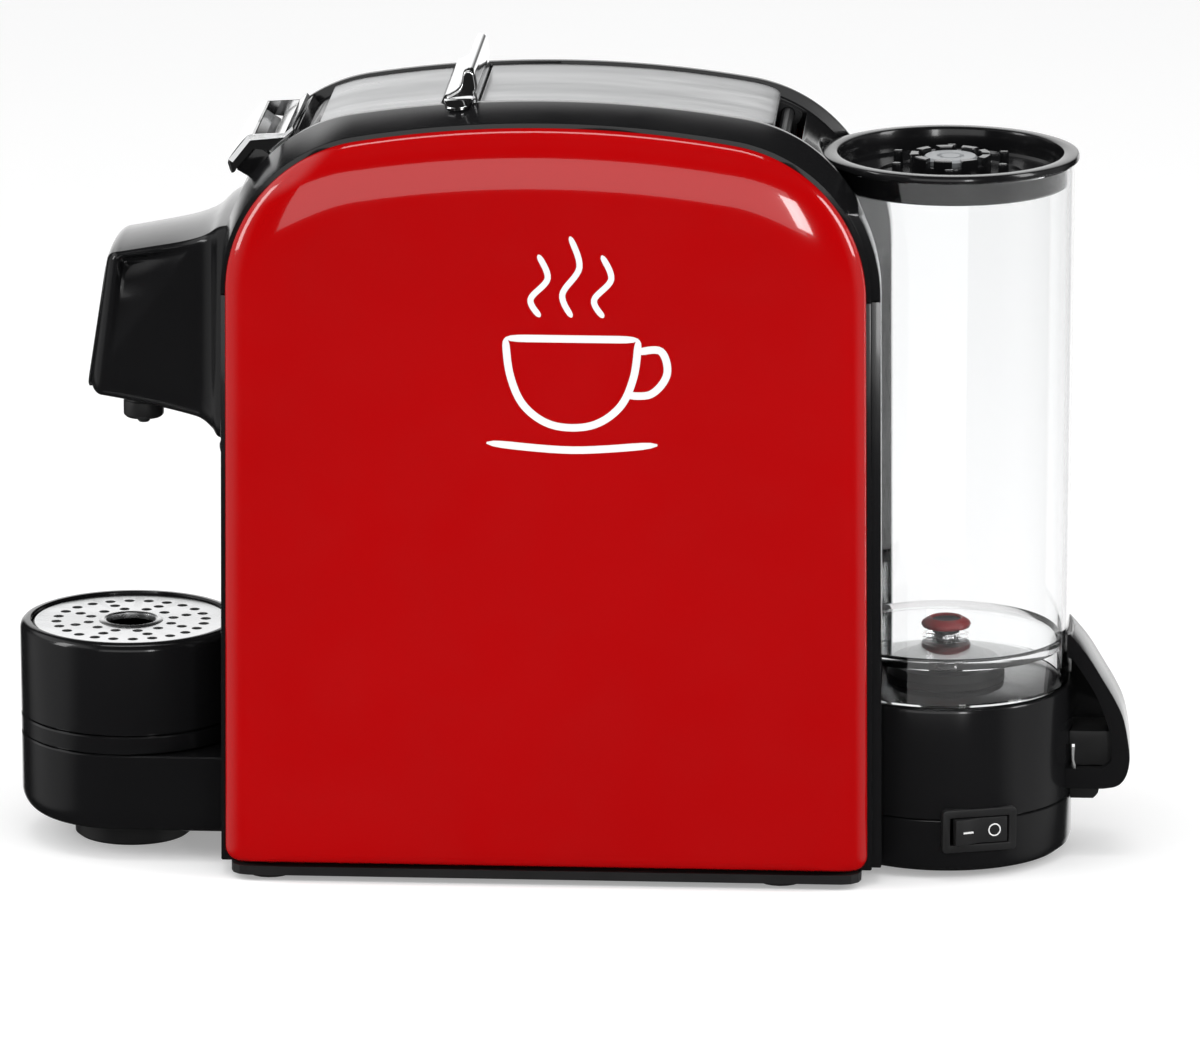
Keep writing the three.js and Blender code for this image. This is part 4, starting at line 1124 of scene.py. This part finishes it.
def makeSwitch():
    halfX, halfZ = switch["bezelWide"] / 2, switch["bezelHigh"] / 2
    bezel = roundedBlock("rockerBezel", halfX, halfZ, -0.7, 3, switch["corner"])
    housing = block("housing", (-switch["wide"] / 2 - 1, 1, -switch["high"] / 2 - 1.4),
                    (switch["wide"] / 2 + 1, 14.8, switch["high"] / 2 + 1.4))
    cutWith(bezel, housing, "UNION")
    cutWith(bezel, block("room", (-switch["wide"] / 2, -5, -switch["high"] / 2),
                         (switch["wide"] / 2, 11.9, switch["high"] / 2)))
    closeUp(bezel)
    roundEdges(bezel, 0.45, 3, 40)
    inSwitch(bezel)
    finishPiece(bezel, "body", blackSatin, ["rocker_bezel"])
    high = switch["high"] / 2 - 0.3
    line = [(-9, -2.6), (-4.5, -2.15), (0, -1.3), (4.5, -2.15), (9, -2.6), (8.6, 1.2), (4, 5), (-4, 5), (-8.6, 1.2)]
    rocker = upright("powerRocker", line, -high, high)
    roundEdges(rocker, 0.35, 3, 30)
    marks = []
    dash = block("offDash", (-6.4, -2.75, -0.25), (-3, -2.2, 0.25))
    marks.append(dash)
    deselectAll()
    bpy.ops.mesh.primitive_torus_add(major_radius=1.9 * mm, minor_radius=0.23 * mm, major_segments=48, minor_segments=8,
                                     location=Vector((4.6, -2.2, 0)) * mm, rotation=(pi / 2, 0, radians(-5)))
    bpy.ops.object.transform_apply(location=True, rotation=True, scale=True)
    ringMark = bpy.context.object
    marks.append(ringMark)
    marks = joinPieces(marks, "rockerMarks")
    tilt = Matrix.Translation(Vector((0, 0.6, 0)) * mm) @ Matrix.Rotation(radians(switch["tilt"]), 4, "Z")
    for piece in (rocker, marks):
        piece.data.transform(tilt)
        inSwitch(piece)
    finishPiece(rocker, "rocker", blackSatin, ["power_rocker"], smooth=25)
    finishPiece(marks, "rocker", printWhite)


def makeTankBase():
    seam = (nodeBox("tank_base_lower")[1].z + nodeBox("tank_base_upper")[0].z) / 2
    topZ = nodeBox("tank_base_upper")[1].z
    foot = baseLow.z
    lower = turned("tankBaseLower", [
        (0, foot), (baseRadius - 5, foot), (baseRadius - 2.4, foot + 0.6), (baseRadius - 0.7, foot + 2.1),
        (baseRadius, foot + 4.6), (baseRadius, seam - 0.45), (baseRadius - 0.4, seam - 0.1),
        (baseRadius - 2.5, seam - 0.1), (baseRadius - 2.5, foot + 3.5), (0, foot + 3.5),
    ], (tankX, 0), 160)
    upper = turned("tankBaseUpper", [
        (4, topZ - 4), (baseRadius - 2.5, topZ - 4), (baseRadius - 2.5, seam + 0.1), (baseRadius - 0.4, seam + 0.1),
        (baseRadius, seam + 0.45), (baseRadius, topZ - 1.2), (baseRadius - 0.35, topZ - 0.35),
        (baseRadius - 1.2, topZ), (4, topZ), (4, topZ - 4),
    ], (tankX, 0), 160)
    for piece in (lower, upper):
        hole = block("switchRoom", (-switch["bezelWide"] / 2 + 0.7, -6, -switch["bezelHigh"] / 2 + 0.7),
                     (switch["bezelWide"] / 2 - 0.7, 8, switch["bezelHigh"] / 2 - 0.7))
        cutWith(piece, inSwitch(hole))
        closeUp(piece)
    finishPiece(lower, "body", blackGloss, ["tank_base_lower"], smooth=30)
    finishPiece(upper, "body", blackGloss, ["tank_base_upper"], smooth=30)


handle = {
    "outer": [(-4, 18.6), (-1, 18.1), (4.8, 11.2), (9.9, 3), (13.8, -3.6), (16.7, -10.3), (18.5, -20.3), (18.5, -25.3),
              (17.2, -29.6), (14.6, -32.2), (10.2, -33.1), (-4, -33.1)],
    "inner": [(-4, 12), (0.4, 9.5), (6.2, 0.6), (9.4, -6), (12, -14), (12.8, -20.5), (12.4, -24.4), (9.6, -26.5),
              (-4, -26.5)],
    "block": [(-3, -19.4), (-3, -15), (0, -15), (8.6, -15), (12, -15), (13.8, -17.5), (13.8, -24.5), (12, -26.2),
              (7, -26.2), (1.2, -26.2), (1.1, -23), (1, -19.4), (-3, -19.4)][:-1],
    "gland": [(-4, -33.4), (9, -33.4), (8.6, -36.2), (7, -38), (-4, -38)],
    "half": 13,
}


def handleLine(points, steps):
    topZ = nodeBox("tank_base_upper")[1].z
    rear = tankX + baseRadius
    line = [points[0]] + curvedLine(points[1:-1], steps) + [points[-1]]
    return [(rear + x, topZ + z) for x, z in line]


def clearBase(piece):
    return cutWith(piece, pillar("clear", (tankX, 0), baseRadius + 0.15, -10, 300, 160))


def makeHandle():
    half = handle["half"]
    topZ = nodeBox("tank_base_upper")[1].z
    band = acrossY("rearHandle", handleLine(handle["outer"], 4), -half, half)
    cutWith(band, acrossY("hole", handleLine(handle["inner"], 4), -half - 1, half - 5))
    cutWith(band, acrossY("lowerHole", [(x, min(z, topZ - 19.4)) for x, z in handleLine(handle["inner"], 4)],
                          -half - 1, half + 1))
    clearBase(band)
    closeUp(band)
    roundEdges(band, 1.1, 4, 35)
    finishPiece(band, "body", blackGloss, ["rear_handle"], smooth=35)
    outlet = clearBase(acrossY("cordOutlet", handleLine(handle["block"], 2), -9, 9))
    closeUp(outlet)
    roundEdges(outlet, 0.7, 3, 35)
    finishPiece(outlet, "body", blackSatin, ["cord_outlet"])
    gland = clearBase(acrossY("cordGland", handleLine(handle["gland"], 2), -7, 7))
    rear = tankX + baseRadius
    cutWith(gland, pillar("cordHole", (rear + 4, 0), 2, topZ - 50, topZ - 35.5, 24))
    closeUp(gland)
    roundEdges(gland, 0.5, 3, 35)
    finishPiece(gland, "body", blackSatin, ["cord_gland"])


makeSwitch()
makeTankBase()
makeHandle()
print("tank base ready")


# ---- Water tank ----

tank = {"wall": 2.2, "edge": 0.5}
tubeRadius = (tubeHigh.x - tubeLow.x) / 2


def makeTank():
    wall = tank["wall"]
    inner = tubeRadius - wall
    z0, z1 = tubeLow.z, tubeHigh.z
    tube = turned("tankTube", [
        (inner, z0 + 0.4), (inner + 0.4, z0), (tubeRadius - 0.5, z0), (tubeRadius, z0 + 0.5),
        (tubeRadius, z1 - 0.3), (tubeRadius - 0.3, z1), (inner, z1), (inner, z0 + 0.4),
    ], (tankX, 0), 180)
    finishPiece(tube, "water_tank", clearTank, ["tank_tube"], smooth=40)
    low, high = nodeBox("tank_floor")
    radius = inner - 0.3
    floor = turned("tankFloor", [
        (3.6, low.z), (radius - 0.5, low.z), (radius, low.z + 0.5), (radius, high.z + 1.1), (radius - 0.4, high.z + 1.4),
        (radius - 1, high.z + 1.1), (radius - 1.8, high.z), (3.6, high.z), (3.6, low.z),
    ], (tankX, 0), 160)
    guide = pillar("guide", (tankX, 0), 8.6, high.z - 0.6, high.z + 1.3, 6)
    cutWith(guide, pillar("guideRoom", (tankX, 0), 7.2, high.z - 2, high.z + 3, 6))
    cutWith(floor, guide, "UNION")
    mark = turned("mark", [
        (1.5, high.z - 0.3), (2.6, high.z - 0.3), (2.6, high.z + 0.5), (2.3, high.z + 0.7), (1.8, high.z + 0.7),
        (1.5, high.z + 0.5), (1.5, high.z - 0.3),
    ], (tankX - 24.5, -21), 32)
    cutWith(floor, mark, "UNION")
    closeUp(floor)
    finishPiece(floor, "water_tank", clearTank, ["tank_floor"], smooth=40)

    low, high = nodeBox("tank_valve")
    cap, cupped = (high.x - low.x) / 2, 4.7
    valve = turned("tankValve", [
        (cupped, high.z - 3.4), (cap - 1.6, high.z - 3.4), (cap - 0.4, high.z - 3), (cap, high.z - 2.2),
        (cap - 0.3, high.z - 1.4), (cap - 1.3, high.z - 0.7), (cupped + 0.6, high.z), (cupped, high.z - 0.3),
        (cupped, high.z - 3.4),
    ], (tankX, 0), 72)
    finishPiece(valve, "valve", sealRed, ["tank_valve"], smooth=50)
    stem = turned("valveStem", [
        (0, low.z), (2.9, low.z), (2.9, high.z - 5.1), (4.3, high.z - 4.9), (4.3, high.z - 3.5),
        (cupped - 0.1, high.z - 3.3), (cupped - 0.1, high.z - 0.8), (2.6, high.z - 1.3), (0, high.z - 1.5),
    ], (tankX, 0), 64)
    finishPiece(stem, "valve", blackSatin, smooth=40)

    low, high = nodeBox("tank_socket")
    wide = (high.x - low.x) / 2
    socket = turned("tankSocket", [
        (0, low.z), (wide, low.z), (wide, low.z + 2.4), (wide - 2, low.z + 4.6), (wide - 6, low.z + 5),
        (wide - 7, low.z + 6.6), (9, high.z - 3), (7.8, high.z - 1), (3, high.z - 1), (3, high.z), (0, high.z),
    ], (tankX, 0), 72)
    finishPiece(socket, "body", blackSatin, ["tank_socket"], smooth=40)


def makeLid():
    low, high = nodeBox("tank_lid")
    inner = tubeRadius - tank["wall"] - 0.3
    outer = (high.x - low.x) / 2
    seat = tubeHigh.z + 0.3
    recess = nodeBox("lid_hub")[0].z - 0.3
    wallIn = inner - 1.3
    lid = turned("tankLid", [
        (0, low.z), (inner - 0.6, low.z), (inner, low.z + 0.6), (inner, seat), (outer - 0.5, seat),
        (outer, seat + 0.5), (outer, high.z - 0.8), (outer - 0.3, high.z - 0.2), (outer - 0.9, high.z),
        (wallIn + 0.9, high.z), (wallIn + 0.25, high.z - 0.25), (wallIn, high.z - 0.9), (wallIn, recess + 0.8),
        (wallIn - 0.8, recess), (24.6, recess), (24.2, recess + 0.7), (23.4, recess + 0.7), (23, recess),
        (0, recess),
    ], (tankX, 0), 180)
    finishPiece(lid, "lid", blackGloss, ["tank_lid"], smooth=40)
    hubLow, hubHigh = nodeBox("lid_hub")
    radius = (hubHigh.x - hubLow.x) / 2
    hub = turned("lidHub", [
        (radius - 3, hubLow.z), (radius, hubLow.z), (radius, hubHigh.z - 0.3), (radius - 0.3, hubHigh.z),
        (radius - 2.7, hubHigh.z), (radius - 3, hubHigh.z - 0.3), (radius - 3, hubLow.z),
    ], (tankX, 0), 96)
    notches = []
    for i in range(9):
        notch = block("notch", (6, -1.5, hubHigh.z - 2.6), (20, 1.5, hubHigh.z + 2))
        notch.data.transform(Matrix.Translation(Vector((tankX, 0, 0)) * mm) @ Matrix.Rotation(2 * pi * i / 9, 4, "Z"))
        notches.append(notch)
    cutWith(hub, joinPieces(notches, "notches"))
    closeUp(hub)
    roundEdges(hub, 0.2, 2, 50)
    finishPiece(hub, "lid", blackGloss, ["lid_hub"], smooth=30)
    capLow, capHigh = nodeBox("lid_cap")
    capRadius = (capHigh.x - capLow.x) / 2
    cap = turned("lidCap", [
        (0, capLow.z), (capRadius, capLow.z), (capRadius, capHigh.z - 0.8), (capRadius - 0.8, capHigh.z),
        (4.4, capHigh.z), (4, capHigh.z - 0.5), (3.4, capHigh.z - 0.5), (3, capHigh.z), (0, capHigh.z),
    ], (tankX, 0), 72)
    finishPiece(cap, "lid", capGrey, ["lid_cap"], smooth=40)
    pegs = []
    for i in range(6):
        a = 2 * pi * (i + 0.5) / 6
        spot = (tankX + 19.5 * cos(a), 19.5 * sin(a))
        pegs.append(pillar("peg", spot, 1.5, recess - 0.5, hubHigh.z - 1.2, 24))
    pegs = joinPieces(pegs, "lidPegs")
    roundEdges(pegs, 0.4, 3, 50)
    finishPiece(pegs, "lid", blackGloss)


makeTank()
makeLid()
print("tank ready")


# ---- Emblem: a plain cup with steam, printed on each side panel ----

emblem = {"x": 3, "z": 168, "cupWide": 42, "thick": 2.4, "proud": 0.12}


def inkStroke(points, width, closed=False):
    # A flat printed stroke of one width, with round ends.
    line = curvedLine(points, 8, closed)
    rows = []
    count = len(line)
    for i, (x, z) in enumerate(line):
        before, after = line[max(i - 1, 0)], line[min(i + 1, count - 1)]
        if closed:
            before, after = line[i - 1], line[(i + 1) % count]
        along = Vector((after[0] - before[0], after[1] - before[1])).normalized()
        half = width / 2
        if not closed:
            half *= sqrt(max(0.06, 1 - (1 - min(1, min(i, count - 1 - i) / 3)) ** 2))
        side = Vector((-along.y, along.x)) * half
        rows.append([(x + side.x, z + side.y), (x - side.x, z - side.y)])
    if closed:
        rows.append(rows[0])
    face = panelLow.y
    ink = [
        [(a[0], face + 0.2, a[1]), (a[0], face - emblem["proud"], a[1]), (b[0], face - emblem["proud"], b[1]),
         (b[0], face + 0.2, b[1])] for a, b in rows
    ]
    return gridSkin("ink", ink, caps=not closed)


def makeEmblem():
    x, z, wide, thick = emblem["x"], emblem["z"], emblem["cupWide"], emblem["thick"]
    half = wide / 2
    strokes = [
        inkStroke([(x - half, z + 12), (x - half + 1.5, z), (x - half + 6, z - 10), (x - 6, z - 16), (x + 6, z - 16),
                   (x + half - 6, z - 10), (x + half - 1.5, z), (x + half, z + 12)], thick),
        inkStroke([(x - half, z + 12), (x, z + 12), (x + half, z + 12)], thick),
        inkStroke([(x + half - 0.5, z + 8), (x + half + 7, z + 8.4), (x + half + 9, z + 1), (x + half + 4, z - 5.5),
                   (x + half - 4, z - 6)], thick),
        inkStroke([(x - half - 6, z - 22), (x, z - 24), (x + half + 6, z - 22)], thick),
    ]
    for shift in (-10, 0, 10):
        rise = 26 if shift == 0 else 20
        strokes.append(inkStroke([
            (x + shift, z + 19), (x + shift - 3, z + 19 + rise * 0.28), (x + shift + 2.4, z + 19 + rise * 0.62),
            (x + shift - 0.6, z + 19 + rise),
        ], thick * 0.8))
    near = strokes[0]
    for stroke in strokes[1:]:
        cutWith(near, stroke, "UNION")
    near.name = "emblemNear"
    far = mirrorCopy(near, "emblemFar")
    finishPiece(near, "body", printWhite, smooth=0)
    finishPiece(far, "body", printWhite, smooth=0)


makeEmblem()
print("emblem ready")


# ---- Nodes kept from the frame ----

keptLooks = {
    # lever_pin is really a steel pin; giving it black satin is painted shade for the dark well it sits in.
    "blackSatin": ("base_plate", "capsule_chute", "piston_guide", "pump_body", "board_relay",
                   "lever_ear_right", "lever_ear_left", "lever_pin"),
    "plainSteel": ("brew_piston", "piston_yoke", "boiler", "base_screw_1", "base_screw_2",
                   "base_screw_3", "base_screw_4"),
    "footRubber": ("rubber_foot_1", "rubber_foot_2", "rubber_foot_3", "rubber_foot_4", "tank_foot"),
    "coilCopper": ("pump_coil",),
    "boardGreen": ("control_board",),
    "hoseSilicone": ("inlet_hose", "pressure_hose", "boiler_outlet", "coffee_duct"),
}
for look, nodes in keptLooks.items():
    for node in nodes:
        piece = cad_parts[node]
        piece.data.materials.clear()
        piece.data.materials.append(bpy.data.materials[look])
print("frame nodes dressed")
